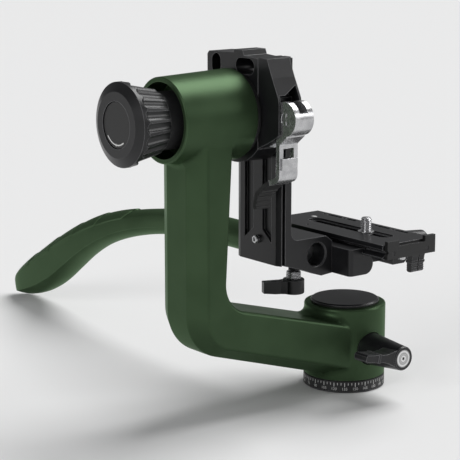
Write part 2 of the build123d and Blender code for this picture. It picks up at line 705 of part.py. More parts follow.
# ================================================================ pan lock
def wing_knob(length, wing_angle, r_back, r_face, wing_length):
    """Winged knob built along Z: its back at 0 and its face at `length`."""
    hub = turned("z", [(0, r_back - 0.5), (0.5, r_back), (length - 0.6, r_face), (length, r_face - 0.5)])
    spread = r_face - 0.4
    root = sqrt(max(wing_length, 1) * 2)
    outline = [
        (0, spread), (root + 3, WING_T / 2 + 0.6), (root + 6, WING_T / 2),
        (wing_length - 1, WING_T / 2), (wing_length, WING_T / 2 - 1),
        (wing_length, -WING_T / 2 + 1), (wing_length - 1, -WING_T / 2),
        (root + 6, -WING_T / 2), (root + 3, -WING_T / 2 - 0.6), (0, -spread)]
    wing = prism("xy", outline, length - WING_DEPTH, length - 0.6)
    ridge_x = wing_length * WING_RIDGE
    ridge = block(ridge_x, ridge_x + 1.4, -WING_T / 2 - 0.5, WING_T / 2 + 0.5, length - WING_DEPTH - 0.3,
                  length - 0.3)
    wing = joined(wing, ridge)
    for step in range(round(wing_length * 0.14)):
        x = wing_length - 1.8 - 1.4 * step
        for side in (-1, 1):
            wing = wing - along_z(0.45, length - WING_DEPTH - 1, length, x, side * (WING_T / 2 + 0.1))
    knob = joined(hub, Rot(0, 0, wing_angle) * wing)
    return knob - along_z(LOCK_DISC_R, length - 0.9, length + 1)


def pan_lock_knob():
    """Winged knob that locks the pan axis."""
    length = -LOCK_FACE_Y - BASE_R + LOCK_SEAT
    knob = wing_knob(length, 0, LOCK_R_BACK, LOCK_R_FACE, WING_LENGTH)
    turn = Pos(0, LOCK_FACE_Y + length, LOCK_Z) * Rot(90, 0, 0) * Rot(0, 0, LOCK_WING_ANGLE)
    knob = turn * knob
    return knob - along_y(LOCK_STUD_R, LOCK_FACE_Y + 12, -BASE_R + 3, 0, LOCK_Z)


def lock_disc(face, axis, at, direction):
    """Bright disc with a small centre hole in a knob's face."""
    deep = face + direction * 0.9
    disc = rod(axis, LOCK_DISC_R, face + direction * 0.15, deep, at)
    return disc - rod(axis, 0.8, face - 1, face + 1, at)


def pan_lock_stud():
    """Threaded stud of the pan lock."""
    return along_y(LOCK_STUD_R, LOCK_FACE_Y + 12, -BEARING_R - 4, 0, LOCK_Z)


# ================================================================ tilt shaft
def tilt_shaft():
    """Steel tilt shaft with the flange that carries the swing clamp."""
    nut_x0 = NUT_WELL_X + 1.0
    nut_x1 = nut_x0 + NUT_T
    shaft = turned("x", [
        (nut_x0 - 0.05, TILT_SHAFT_R - 1), (nut_x1, TILT_SHAFT_R - 1), (nut_x1, TILT_SHAFT_R),
        (OUTER_BEARING_X + BEARING_W, TILT_SHAFT_R),
        (OUTER_BEARING_X + BEARING_W, TILT_SHAFT_R + 1.6), (FLANGE_X0, TILT_SHAFT_R + 1.6),
        (FLANGE_X0, TILT_FLANGE_R - 0.4), (FLANGE_X0 + 0.4, TILT_FLANGE_R),
        (CLAMP_X0, TILT_FLANGE_R)], (0, TILT_Z))
    for y, z in flange_screw_spots():
        shaft = shaft - along_x(FLANGE_SCREW_R, FLANGE_X0 - 1, CLAMP_X0 + 1, y, z)
    return shaft


def flange_screw_spots():
    """Centres of the four flange screws as (y, z)."""
    offsets = (-CLAMP_SCREW_SPREAD, CLAMP_SCREW_SPREAD)
    return [(y, TILT_Z + z) for y in offsets for z in offsets]


def flange_screws():
    """Four socket screws from the clamp body into the shaft flange."""
    group = None
    for spot in flange_screw_spots():
        screw = cap_screw("x", FLANGE_SCREW_R, FLANGE_X0 + 0.2, CLAMP_X1 - FLANGE_SCREW_HEAD,
                          spot, "high", head_h=3.2)
        group = screw if group is None else group + screw
    return group


# ================================================================ rail and bracket
def rail_section():
    """Half of the dovetail as (x, y), from the slotted face to the leg."""
    edge_x = RAIL_FACE_X + RAIL_BEVEL
    return [
        (RAIL_FACE_X, RAIL_FACE_HALF), (edge_x, RAIL_HALF), (edge_x + RAIL_EDGE, RAIL_HALF),
        (RAIL_BACK_X - 0.4, GROOVE_HALF), (RAIL_BACK_X, GROOVE_HALF)]


def l_bracket():
    """L bracket in one piece: dovetail rail and leg, and the limb with the handle socket."""
    half = rail_section()
    rail = prism("xy", half + [(x, -y) for x, y in reversed(half)], LEG_FOOT, LEG_TOP)
    leg = block(RAIL_BACK_X, LEG_X1, -LEG_HALF, LEG_HALF, LEG_FOOT, LEG_TOP)
    limb = prism("xz", [
        (RAIL_BACK_X, LEG_FOOT), (RAIL_BACK_X, SHELF_TOP), (SHELF_END_X - 4.5, SHELF_TOP),
        (SHELF_END_X, SHELF_TOP - 3.5), (SHELF_END_X, BOSS_BOTTOM + 0.6),
        (SOCKET_X + 3.5, BOSS_BOTTOM), (SOCKET_X - 4.0, BOSS_BOTTOM + 2.4),
        (SOCKET_X - 11.5, BOSS_BOTTOM + 5.6)], -LEG_HALF, LEG_HALF)
    corner = block(LEG_X1 - 0.1, LEG_X1 + SHELF_CORNER_R, -LEG_HALF, LEG_HALF,
                   SHELF_TOP - 0.1, SHELF_TOP + SHELF_CORNER_R)
    corner = corner - along_y(SHELF_CORNER_R, -LEG_HALF - 1, LEG_HALF + 1,
                              LEG_X1 + SHELF_CORNER_R, SHELF_TOP + SHELF_CORNER_R)
    body = joined(rail, leg, limb, corner)

    # two grooves down the rail's face, closed by a pointed land round the stop screw
    for side in (-1, 1):
        groove = prism("yz", [
            (side * RIB_HALF, STOP_SCREW_Z + 6.0), (side * CHANNEL_HALF, STOP_SCREW_Z - 0.6),
            (side * CHANNEL_HALF, LEG_TOP + 1), (side * RIB_HALF, LEG_TOP + 1)],
            RAIL_FACE_X - 1, RAIL_FACE_X + CHANNEL_D)
        body = body - groove

    # handle socket, its pinch screw, stop screw and plate clamp screws
    body = body - along_y(SOCKET_R + FIT, -LEG_HALF - 1, LEG_HALF + 1, SOCKET_X, SOCKET_Z)
    mouth = turned("y", [
        (-LEG_HALF - 0.1, SOCKET_R + 0.8), (-LEG_HALF + 0.6, SOCKET_R)], (SOCKET_X, SOCKET_Z))
    body = body - mouth
    body = body - along_z(PINCH_STUD_R + FIT, BOSS_BOTTOM - 2, SOCKET_Z, SOCKET_X, 0)
    body = body - along_x(STOP_SCREW_R, RAIL_FACE_X - 1, RAIL_BACK_X + 3, 0, STOP_SCREW_Z)
    for y in (-SHELF_SCREW_Y, SHELF_SCREW_Y):
        body = body - along_x(SHELF_SCREW_R, SOCKET_X + SOCKET_R + 1.5, SHELF_END_X + 1,
                              y, SHELF_SCREW_Z)
    return body


def rail_stop_screw():
    """Button screw at the foot of the rail that stops it sliding out."""
    head_x = RAIL_FACE_X - 2.6
    screw = turned("x", [
        (head_x, 1.9), (head_x + 0.4, 2.3), (RAIL_FACE_X, 2.3), (RAIL_FACE_X, STOP_SCREW_R),
        (RAIL_BACK_X + 2.8, STOP_SCREW_R)], (0, STOP_SCREW_Z))
    hexagon = place("x", head_x - 1, (0, STOP_SCREW_Z)) * extrude(RegularPolygon(1.2, 6), 2.2)
    return screw - hexagon


# ================================================================ swing clamp
def clamp_body():
    """Swing clamp body: round foot on the shaft flange, fixed jaw and windows at the top."""
    disc = along_x(CLAMP_DISC_R, CLAMP_X0, CLAMP_X1, 0, TILT_Z)
    disc = disc - block(CLAMP_X0 - 1, CLAMP_X1 + 1, CLAMP_FREE_Y - 20, CLAMP_FREE_Y,
                        TILT_Z - 40, TILT_Z + 40)
    disc = disc - block(CLAMP_X0 - 1, CLAMP_X1 + 1, CLAMP_FIXED_Y, CLAMP_FIXED_Y + 20,
                        TILT_Z - 40, TILT_Z + 40)
    upper = prism("yz", [
        (CLAMP_FREE_Y, TILT_Z - 14), (CLAMP_FIXED_Y, TILT_Z - 14), (CLAMP_FIXED_Y, CLAMP_TOP - 2),
        (CLAMP_FIXED_Y - 1.6, CLAMP_TOP - 0.4), (HOOK_Y1, CLAMP_TOP + 0.4),
        (HOOK_Y1, CLAMP_TOP + HOOK_H), (HOOK_Y0, CLAMP_TOP + HOOK_H),
        (HOOK_Y0 - 1.2, CLAMP_TOP - 0.8), (CLAMP_FREE_Y, CLAMP_TOP - 1.6)],
        CLAMP_X0, CLAMP_X1)
    lip_y = RAIL_HALF + SLIDE
    jaw = block(CLAMP_X1 - 0.1, RAIL_BACK_X - 0.15, lip_y, CLAMP_FIXED_Y, JAW_LOW_Z, CLAMP_TOP - 2)
    tooth = prism("xy", JAW_TOOTH, JAW_LOW_Z, CLAMP_TOP - 2)
    body = joined(disc, upper, jaw, tooth)

    # windows either side of the centre lug, and the waist cut under the hook
    body = body - slot("yz", (16.2, CLAMP_TOP - 6.7), 11.0, 3.9, CLAMP_X0 - 1, CLAMP_X1 + 1, 90)
    body = body - slot("yz", (-8.8, CLAMP_TOP - 6.4), 15.8, 4.3, CLAMP_X0 - 1, CLAMP_X1 + 1)

    # draw bolt, guide pins, springs and flange screws
    body = body - along_y(BOLT_R + FIT, -40, CLAMP_FIXED_Y + 1, BOLT_X, PIN_Z)
    body = body - along_y(BOLT_R * 1.9, CLAMP_FIXED_Y - 3.4, CLAMP_FIXED_Y + 1, BOLT_X, PIN_Z)
    for z in GUIDE_ZS:
        body = body - along_y(GUIDE_R, -30, GUIDE_IN_Y, BOLT_X, z)
    for z in SPRING_ZS:
        body = body - along_y(SPRING_R + GAP, -30, CLAMP_FREE_Y + SPRING_POCKET, BOLT_X, z)
    for y, z in flange_screw_spots():
        body = body - along_x(FLANGE_SCREW_R, CLAMP_X0 - 1, CLAMP_X1 + 1, y, z)
        body = body - along_x(FLANGE_SCREW_R * 1.7 + FIT, CLAMP_X1 - FLANGE_SCREW_HEAD,
                              CLAMP_X1 + 1, y, z)
    return body


def sliding_jaw():
    """Lever-side jaw: bevelled block, two cheeks beside the lever and the rail tooth."""
    outline = [
        (JAW_IN_Y, JAW_BOTTOM - 8.0), (JAW_IN_Y, JAW_TOP + 0.6), (JAW_TOP_Y, JAW_TOP),
        (JAW_KNEE_Y, JAW_KNEE_Z), (JAW_OUT_Y + 0.4, JAW_HIP_Z), (JAW_OUT_Y, JAW_HIP_Z - 3),
        (JAW_OUT_Y, JAW_BOTTOM + 1), (JAW_OUT_Y + 1, JAW_BOTTOM), (JAW_IN_Y - 9, JAW_BOTTOM - 4)]
    body = prism("yz", outline, JAW_X0, JAW_X1)
    cheek_x0 = JAW_X0 + WEB_T
    cheek_x1 = JAW_X1 - WEB_T
    # room for the lever's ears between the cheeks
    body = body - prism("yz", [
        (SEAT_Y, JAW_BOTTOM - 10), (SEAT_Y, JAW_HIP_Z + 0.4), (SEAT_Y - 3, JAW_HIP_Z + 1.6),
        (-60, JAW_HIP_Z + 1.6), (-60, JAW_BOTTOM - 10)], cheek_x0, cheek_x1)
    notch = prism("xz", [
        (cheek_x1, JAW_KNEE_Z - 4.2), (cheek_x0 + 0.8, JAW_HIP_Z), (cheek_x1, JAW_HIP_Z)],
        -60, SEAT_Y + 3.0)
    body = body - notch
    tooth = prism("xy", [(x, -y) for x, y in JAW_TOOTH], JAW_BOTTOM - 6, JAW_TOP)
    bridge = block(JAW_X1 - 1, RAIL_BACK_X - 0.15, JAW_IN_Y - 3.2, JAW_IN_Y, JAW_BOTTOM - 6, JAW_TOP)
    lip = block(CLAMP_X1 + GAP, RAIL_BACK_X - 0.15, JAW_IN_Y - 0.1, -RAIL_HALF - SLIDE,
                JAW_BOTTOM - 6, JAW_TOP)
    body = joined(body, tooth, bridge, lip)
    body = body - along_y(BOLT_R + 0.15, -60, 0, BOLT_X, PIN_Z)
    for z in GUIDE_ZS:
        body = body - along_y(GUIDE_R + FIT, JAW_IN_Y - 6.5, 0, BOLT_X, z)
    for z in SPRING_ZS:
        body = body - along_y(SPRING_R + GAP, JAW_IN_Y - 2.0, 0, BOLT_X, z)
    return body


def guide_pins():
    """Two steel pins that keep the sliding jaw square."""
    group = None
    for z in GUIDE_ZS:
        pin = along_y(GUIDE_R, JAW_IN_Y - 4.6, GUIDE_IN_Y, BOLT_X, z)
        group = pin if group is None else group + pin
    return group


def jaw_springs():
    """Two coil springs that push the jaw open, at their closed length."""
    group = None
    for z in SPRING_ZS:
        coil = tube("y", SPRING_R, SPRING_R - 2 * SPRING_WIRE, JAW_IN_Y - 1.9,
                    CLAMP_FREE_Y + SPRING_POCKET - 0.1, (BOLT_X, z))
        group = coil if group is None else group + coil
    return group


def draw_bolt():
    """Bolt through the clamp with the eye that holds the lever's pin."""
    eye = along_x(EYE_R, BOLT_X - EYE_W / 2, BOLT_X + EYE_W / 2, LEVER_PIN_Y, PIN_Z)
    shank = along_y(BOLT_R, LEVER_PIN_Y, CLAMP_FIXED_Y - 0.6, BOLT_X, PIN_Z)
    bolt = joined(eye, shank)
    return bolt - along_x(PIN_R + FIT, BOLT_X - 10, BOLT_X + 10, LEVER_PIN_Y, PIN_Z)


def bolt_nut():
    """Round nut on the far end of the draw bolt."""
    nut = tube("y", BOLT_R * 1.9 - FIT, BOLT_R, CLAMP_FIXED_Y - 3.4, CLAMP_FIXED_Y - 0.8,
               (BOLT_X, PIN_Z))
    for side in (-1, 1):
        nut = nut - along_y(0.7, CLAMP_FIXED_Y - 2.0, CLAMP_FIXED_Y, BOLT_X + side * 3.9, PIN_Z)
    return nut


def ribbon(points, radius, width, x0, x1):
    """Bent strip: a rounded line in the side view, thickened and pulled along X."""
    frame = Plane(origin=(x0, 0, 0), x_dir=(0, 1, 0), z_dir=(1, 0, 0))
    flat = FilletPolyline(*points, radius=radius)
    face = trace(flat, line_width=width)
    return extrude(frame * face, amount=x1 - x0)


def clamp_lever():
    """Bright cam lever: two ears on the pin, a waist and a window frame with a curled lip."""
    y, z = LEVER_PIN_Y, PIN_Z
    cam = along_x(CAM_R, LEVER_X0, LEVER_X1, y + CAM_THROW, z)
    front = prism("yz", [
        (y + CAM_THROW, z + CAM_R), (y - 1.6, z + CAM_R - 0.3), (y - 4.4, z + 7.2),
        (y - 5.8, z + 4.3), (y - 2.6, z - 3.7), (y - 0.3, z - 9.6), (FRAME_Y, FRAME_TOP),
        (FRAME_Y, FRAME_TOP - 3), (FRAME_BACK, FRAME_TOP - 3), (FRAME_BACK, FRAME_TOP + 1.4),
        (y + CAM_THROW + CAM_R * 0.7, z - CAM_R * 0.7)], LEVER_X0, LEVER_X1)
    strip = ribbon([
        (FRAME_Y + FRAME_T / 2, FRAME_TOP - 1), (FRAME_Y + FRAME_T / 2, FRAME_BOTTOM),
        (LIP_TIP_Y, LIP_TIP_Z)], 3.6, FRAME_T, LEVER_X0, LEVER_X1)
    lever = joined(cam, front, strip)
    gap_x0 = BOLT_X - EYE_W / 2 - 0.25
    gap_x1 = BOLT_X + EYE_W / 2 + 0.25
    lever = lever - prism("yz", [
        (y - 12, z + 4.2), (y - 12, z + 20), (y + 20, z + 20), (y + 20, z - 3.9),
        (y + 0.2, z - 3.9), (y - 2.3, z - 2.6), (y - 3.3, z - 0.4), (y - 3.8, z + 3.0)],
        gap_x0, gap_x1)
    lever = lever - along_x(PIN_R, LEVER_X0 - 1, LEVER_X1 + 1, y, z)
    lever = lever - along_x(PIN_HEAD_R + FIT, LEVER_X0 - 1, LEVER_X0 + 0.9, y, z)
    window = block(BOLT_X - WINDOW_HALF, BOLT_X + WINDOW_HALF, FRAME_Y - 3, FRAME_Y + 6,
                   BUTTON_Z0 - FIT, FRAME_TOP - 2.2)
    return lever - window


def lever_pin():
    """Slotted pivot pin of the cam lever."""
    pin = along_x(PIN_R - 0.01, LEVER_X0 + 0.2, LEVER_X1 - 0.1, LEVER_PIN_Y, PIN_Z)
    head = along_x(PIN_HEAD_R, LEVER_X0 + 0.15, LEVER_X0 + 0.9, LEVER_PIN_Y, PIN_Z)
    head = head - block(LEVER_X0 - 1, LEVER_X0 + 0.6, LEVER_PIN_Y - 0.5, LEVER_PIN_Y + 0.5,
                        PIN_Z - 3.2, PIN_Z + 3.2)
    return joined(pin, head)


def safety_button():
    """Sliding safety catch: a block in the lever's window with a wider face plate."""
    stem = block(BOLT_X - WINDOW_HALF + FIT, BOLT_X + WINDOW_HALF - FIT, FRAME_Y - 0.2,
                 FRAME_Y + FRAME_T, BUTTON_Z0, BUTTON_Z0 + BUTTON_H)
    plate = block(BOLT_X - BUTTON_HALF, BOLT_X + BUTTON_HALF, FRAME_Y - 1.3, FRAME_Y - FIT,
                  BUTTON_Z0 - 0.6, BUTTON_Z0 + BUTTON_H)
    notch = prism("xz", [
        (BOLT_X - 0.6, BUTTON_Z0 - 1), (BOLT_X + 1.2, BUTTON_Z0 + 1.4),
        (BOLT_X + BUTTON_HALF + 1, BUTTON_Z0 + 2.6), (BOLT_X + BUTTON_HALF + 1, BUTTON_Z0 - 1)],
        FRAME_Y - 2, FRAME_Y - 0.2)
    return joined(stem, plate) - notch


def lever_grip():
    """Black ribbed finger grip that curls in beside the rail."""
    root = (LIP_TIP_Y, LIP_TIP_Z)
    slope = atan2(LIP_TIP_Z - FRAME_BOTTOM, LIP_TIP_Y - FRAME_Y - FRAME_T / 2)
    neck = (LIP_TIP_Y + 3.1 * cos(slope), LIP_TIP_Z + 3.1 * sin(slope))
    bend = (-17.0, TILT_Z - 41.8)
    tip = (-14.9, TILT_Z - 50.5)
    path = FilletPolyline(root, neck, bend, tip, radius=6.0)
    strip = ribbon([root, neck, bend, tip], 6.0, GRIP_T, LEVER_X0, LEVER_X1)
    for step in range(GRIP_RIBS):
        part = 0.42 + 0.52 * step / (GRIP_RIBS - 1)
        spot = path @ part
        along = path % part
        y = spot.X + along.Y * GRIP_T / 2
        z = spot.Y - along.X * GRIP_T / 2
        strip = strip + along_x(0.6, LEVER_X0, LEVER_X1, y, z)
    taper = prism("xz", [
        (LEVER_X1 + 1, LIP_TIP_Z + 3), (LEVER_X1, LIP_TIP_Z - 1), (LEVER_X1 - 2.6, tip[1] + 4),
        (LEVER_X1 - 2.8, tip[1] - 4), (LEVER_X1 + 1, tip[1] - 4)], -60, 0)
    return (strip - taper).clean()


# ================================================================ plate clamp
def dovetail_outline(grow, top):
    """Full section of the lens plate as (x, z), offset outward by `grow`."""
    flange_top = PLATE_BOTTOM + 1.0
    waist = PLATE_BOTTOM + PLATE_FLANGE
    half = [
        (PLATE_HALF - 0.8 + grow, PLATE_BOTTOM - grow), (PLATE_HALF + grow, PLATE_BOTTOM + 0.8),
        (PLATE_HALF + grow, flange_top), (PLATE_NECK + grow, waist),
        (PLATE_NECK + grow, waist + 0.6), (PLATE_HALF + grow, waist + 0.6 + 1.6),
        (PLATE_HALF + grow, top)]
    return half + [(-x, z) for x, z in reversed(half)]


def lens_plate():
    """Long dovetail plate with its recessed screw slot and a row of short slots."""
    body = prism("xz", dovetail_outline(0, PLATE_TOP), PLATE_Y0, PLATE_Y1)
    low, high = PLATE_BOTTOM - 1, PLATE_TOP + 1
    body = body - slot("xy", (0, SLOT_MID_Y), SLOT_LENGTH, SLOT_R, low, high, 90)
    body = body - slot("xy", (0, SLOT_MID_Y), SLOT_LENGTH + 6, HEAD_SLOT_R, low,
                       PLATE_BOTTOM + SCREW_HEAD_T + 0.6, 90)
    body = body - slot("xy", (0, SLOT_MID_Y), SLOT_LENGTH + 4, RECESS_HALF, PLATE_TOP - RECESS_D,
                       high, 90)
    for y, length in SIDE_SLOTS:
        body = body - slot("xy", (SIDE_SLOT_X, y), length, 1.2, PLATE_TOP - 1.6, high, 90)
    for x, y in PLATE_HOLES:
        body = body - along_z(PLATE_HOLE_R, PLATE_TOP - 3, high, x, y)
    body = body - slot("xy", OVAL_AT, OVAL_LENGTH, OVAL_R, PLATE_TOP - 0.4, high, 90)
    for x in (-PLATE_SCREW_X, PLATE_SCREW_X):
        body = body - along_y(PLATE_SCREW_R, PLATE_Y0 - 1, PLATE_Y0 + 8, x, PLATE_SCREW_Z)
    for y in STOP_PIN_YS:
        body = body - along_z(STOP_PIN_R, PLATE_BOTTOM - 1, PLATE_BOTTOM + 4, 0, y)
    return body


def plate_end_stop():
    """Raised stop with two tabs, screwed to the near end of the lens plate."""
    inner_x = -PLATE_HALF + 1.6
    shape = prism("xz", [
        (inner_x, PLATE_BOTTOM), (PLATE_HALF, PLATE_BOTTOM), (PLATE_HALF, PLATE_STOP_TOP),
        (TAB_X1, PLATE_STOP_TOP), (TAB_X1, PLATE_TOP - 1.2), (TAB_X0, PLATE_TOP - 1.2),
        (TAB_X0, PLATE_STOP_TOP), (inner_x, PLATE_STOP_TOP),
        (inner_x, PLATE_BOTTOM + 5.0), (inner_x + 1.0, PLATE_BOTTOM + 4.0),
        (inner_x, PLATE_BOTTOM + 3.0)], PLATE_Y0 - PLATE_STOP_T, PLATE_Y0)
    for x in (-PLATE_SCREW_X, PLATE_SCREW_X):
        shape = shape - along_y(PLATE_SCREW_R, PLATE_Y0 - 9, PLATE_Y0 + 1, x, PLATE_SCREW_Z)
    return shape


def plate_stop_screws():
    """Two small screws that hold the end stop."""
    group = None
    for x in (-PLATE_SCREW_X, PLATE_SCREW_X):
        pin = along_y(PLATE_SCREW_R, PLATE_Y0 - PLATE_STOP_T + 0.2, PLATE_Y0 + 7, x, PLATE_SCREW_Z)
        group = pin if group is None else group + pin
    return group


def plate_safety_pins():
    """Steel pins under the plate's ends that stop it sliding out of the clamp."""
    group = None
    for y in STOP_PIN_YS:
        pin = turned("z", [
            (PLATE_BOTTOM - 3.0, STOP_PIN_R - 0.4), (PLATE_BOTTOM - 2.6, STOP_PIN_R),
            (PLATE_BOTTOM + 4, STOP_PIN_R)], (0, y))
        group = pin if group is None else group + pin
    return group


def plate_clamp_body():
    """Fixed half of the plate clamp: rounded bar, bridge and guide bores."""
    d_mid = (CLAMP_BLOCK_BOTTOM + PLATE_BOTTOM - SLIDE) / 2
    d_r = (PLATE_BOTTOM - SLIDE - CLAMP_BLOCK_BOTTOM) / 2
    bar = block(BLOCK_X0, BLOCK_X1 - d_r, -CLAMP_BLOCK_HALF, CLAMP_BLOCK_HALF, CLAMP_BLOCK_BOTTOM,
                PLATE_BOTTOM - SLIDE)
    nose = along_y(d_r, -CLAMP_BLOCK_HALF, CLAMP_BLOCK_HALF, BLOCK_X1 - d_r, d_mid)
    lip = block(BLOCK_X0, -PLATE_HALF - SLIDE, -CLAMP_BLOCK_HALF, CLAMP_BLOCK_HALF,
                PLATE_BOTTOM - SLIDE - 0.1, CLAMP_BLOCK_TOP)
    hook = prism("xz", [
        (-PLATE_HALF - SLIDE - 0.1, PLATE_BOTTOM + 1.4), (-PLATE_NECK - SLIDE, PLATE_BOTTOM + 3.65),
        (-PLATE_HALF - SLIDE - 0.1, PLATE_BOTTOM + 3.7)], -CLAMP_BLOCK_HALF, CLAMP_BLOCK_HALF)
    bridge = block(BLOCK_X1 - 6, BRIDGE_END_X, -BRIDGE_HALF, BRIDGE_HALF, CLAMP_BLOCK_BOTTOM,
                   PLATE_BOTTOM - 0.5)
    body = joined(bar, nose, lip, hook, bridge)
    outer = [e for e in body.edges().filter_by(Axis.Z)
             if abs(abs(e.center().Y) - CLAMP_BLOCK_HALF) < 0.01 and e.center().X < BLOCK_X0 + 0.1]
    body = fillet(outer, BLOCK_ROUND)
    body = body - along_x(CLAMP_SCREW_R + FIT, BLOCK_X1 - 12, BRIDGE_END_X + 1, 0, CLAMP_SCREW_Z)
    for y in (-GUIDE_ROD_Y, GUIDE_ROD_Y):
        body = body - along_x(GUIDE_ROD_R, BLOCK_X1 - 12, BRIDGE_END_X + 1, y, CLAMP_SCREW_Z)
    for y in (-SHELF_SCREW_Y, SHELF_SCREW_Y):
        body = body - along_x(SHELF_SCREW_R, BLOCK_X0 - 1, BLOCK_X0 + 9, y, SHELF_SCREW_Z)
        body = body - along_x(SHELF_SCREW_R * 1.8, BLOCK_X0 + 5, BLOCK_X0 + 9, y, SHELF_SCREW_Z)
    return body


def shelf_screws():
    """Screws that hold the plate clamp on the end of the bracket."""
    group = None
    for y in (-SHELF_SCREW_Y, SHELF_SCREW_Y):
        screw = along_x(SHELF_SCREW_R, SOCKET_X + SOCKET_R + 2.5, BLOCK_X0 + 5, y, SHELF_SCREW_Z)
        head = along_x(SHELF_SCREW_R * 1.8 - FIT, BLOCK_X0 + 5, BLOCK_X0 + 8.6, y, SHELF_SCREW_Z)
        group = screw + head if group is None else group + screw + head
    return group


def plate_clamp_jaw():
    """Moving jaw of the plate clamp."""
    inner_low = BRIDGE_END_X + 0.6
    outline = [
        (inner_low, CLAMP_BLOCK_BOTTOM - 1), (inner_low, PLATE_BOTTOM - 1.4),
        (PLATE_HALF + SLIDE, PLATE_BOTTOM - 0.4), (PLATE_HALF + SLIDE, PLATE_BOTTOM + 1.4),
        (PLATE_NECK + SLIDE + 0.05, PLATE_BOTTOM + 3.65), (PLATE_HALF + SLIDE, PLATE_BOTTOM + 3.7),
        (PLATE_HALF + SLIDE, CLAMP_BLOCK_TOP), (JAW_OUT_X - 1, CLAMP_BLOCK_TOP),
        (JAW_OUT_X, CLAMP_BLOCK_TOP - 1), (JAW_OUT_X, CLAMP_BLOCK_BOTTOM + 2),
        (JAW_OUT_X - 3, CLAMP_BLOCK_BOTTOM - 1)]
    jaw = prism("xz", outline, -CLAMP_JAW_HALF, CLAMP_JAW_HALF)
    jaw = jaw - along_x(CLAMP_SCREW_R + FIT, 0, 60, 0, CLAMP_SCREW_Z)
    for y in (-GUIDE_ROD_Y, GUIDE_ROD_Y):
        jaw = jaw - along_x(GUIDE_ROD_R + FIT, 0, JAW_OUT_X - 1.5, y, CLAMP_SCREW_Z)
    return jaw


def clamp_guide_rods():
    """Two steel rods that carry the moving jaw."""
    group = None
    for y in (-GUIDE_ROD_Y, GUIDE_ROD_Y):
        pin = along_x(GUIDE_ROD_R, BLOCK_X1 - 12, JAW_OUT_X - 1.8, y, CLAMP_SCREW_Z)
        group = pin if group is None else group + pin
    return group


def plate_clamp_screw():
    """Screw that draws the moving jaw in."""
    return along_x(CLAMP_SCREW_R, BLOCK_X1 - 11.6, CLAMP_KNOB_X0 + 6, 0, CLAMP_SCREW_Z)


def plate_clamp_knob():
    """Winged knob on the plate clamp."""
    length = CLAMP_KNOB_X1 - CLAMP_KNOB_X0
    knob = wing_knob(length, 0, CLAMP_KNOB_R0, CLAMP_KNOB_R1, CLAMP_WING_LENGTH)
    knob = Pos(CLAMP_KNOB_X0, 0, CLAMP_SCREW_Z) * Rot(0, 90, 0) * knob
    collar = along_x(CLAMP_KNOB_R1, JAW_OUT_X + GAP, CLAMP_KNOB_X0 + 1, 0, CLAMP_SCREW_Z)
    knob = joined(knob, collar)
    knob = knob - tube("x", 40, CLAMP_KNOB_R1 + 0.6, CLAMP_KNOB_X1 - 5.6, CLAMP_KNOB_X1 - 4.8,
                       (0, CLAMP_SCREW_Z))
    return knob - along_x(CLAMP_SCREW_R, JAW_OUT_X, CLAMP_KNOB_X0 + 6, 0, CLAMP_SCREW_Z)


# ================================================================ camera screw
def camera_screw():
    """1/4 inch-20 screw that stands in the plate's slot."""
    head_r = HEAD_SLOT_R - 0.4
    seat = PLATE_BOTTOM + SCREW_HEAD_T + 0.5
    screw = turned("z", [
        (seat - SCREW_HEAD_T, head_r), (seat, head_r), (seat, SCREW_NECK_R),
        (COLLAR_TOP + 0.2, SCREW_NECK_R), (COLLAR_TOP + 0.6, CAMERA_SCREW_R),
        (CAMERA_SCREW_TOP - 0.8, CAMERA_SCREW_R), (CAMERA_SCREW_TOP, CAMERA_SCREW_R - 0.8)],
        (0, CAMERA_SCREW_Y))
    return screw - block(-4.5, 4.5, CAMERA_SCREW_Y - 0.6, CAMERA_SCREW_Y + 0.6, PLATE_BOTTOM,
                         seat - SCREW_HEAD_T + 1.3)


def screw_collar():
    """Thin retaining collar round the camera screw's neck, on top of the plate."""
    return tube("z", CAMERA_SCREW_R + 1.5, SCREW_NECK_R + FIT, PLATE_TOP - RECESS_D, COLLAR_TOP,
                (0, CAMERA_SCREW_Y))


# ================================================================ handle
def handle_point(run):
    """Point and direction of the handle's centre line, `run` millimetres from its start.

    The line is straight, bends down through one large arc and ends straight.
    """
    straight = HANDLE_BEND_Y - HANDLE_START_Y
    turn = radians(HANDLE_DROOP)
    if run <= straight:
        return HANDLE_START_Y + run, SOCKET_Z, 0.0
    angle = min((run - straight) / HANDLE_BEND_R, turn)
    rest = max(run - straight - HANDLE_BEND_R * turn, 0.0)
    y = HANDLE_BEND_Y + HANDLE_BEND_R * sin(angle) + rest * cos(angle)
    z = SOCKET_Z - HANDLE_BEND_R * (1 - cos(angle)) - rest * sin(angle)
    return y, z, -angle


def handle_shape(run):
    """Section sizes at `run`, read between the rows of HANDLE_SHAPE."""
    later = min([row for row in HANDLE_SHAPE if row[0] >= run] or [HANDLE_SHAPE[-1]])
    before = max([row for row in HANDLE_SHAPE if row[0] <= run] or [HANDLE_SHAPE[0]])
    if later is before:
        return before[1:]
    part = (run - before[0]) / (later[0] - before[0])
    return tuple(a + (b - a) * part for a, b in zip(before[1:], later[1:]))


def handle_frame(run):
    """Plane square to the handle's centre line."""
    y, z, angle = handle_point(run)
    return Plane((SOCKET_X, y, z), x_dir=(-1, 0, 0), z_dir=(0, cos(angle), sin(angle)))


def handle_section(run):
    """Section with a rounded top, two side facets and a rounded keel."""
    top, upper_x, upper_z, bulge, lower_x, lower_z, low = handle_shape(run)
    side_x = (upper_x + lower_x) / 2 + bulge
    side_z = (upper_z + lower_z) / 2
    line = [
        ThreePointArc((upper_x, upper_z), (0, top), (-upper_x, upper_z)),
        ThreePointArc((-upper_x, upper_z), (-side_x, side_z), (-lower_x, lower_z)),
        ThreePointArc((-lower_x, lower_z), (0, -low), (lower_x, lower_z)),
        ThreePointArc((lower_x, lower_z), (side_x, side_z), (upper_x, upper_z)),
    ]
    return handle_frame(run) * make_face(Curve() + line)


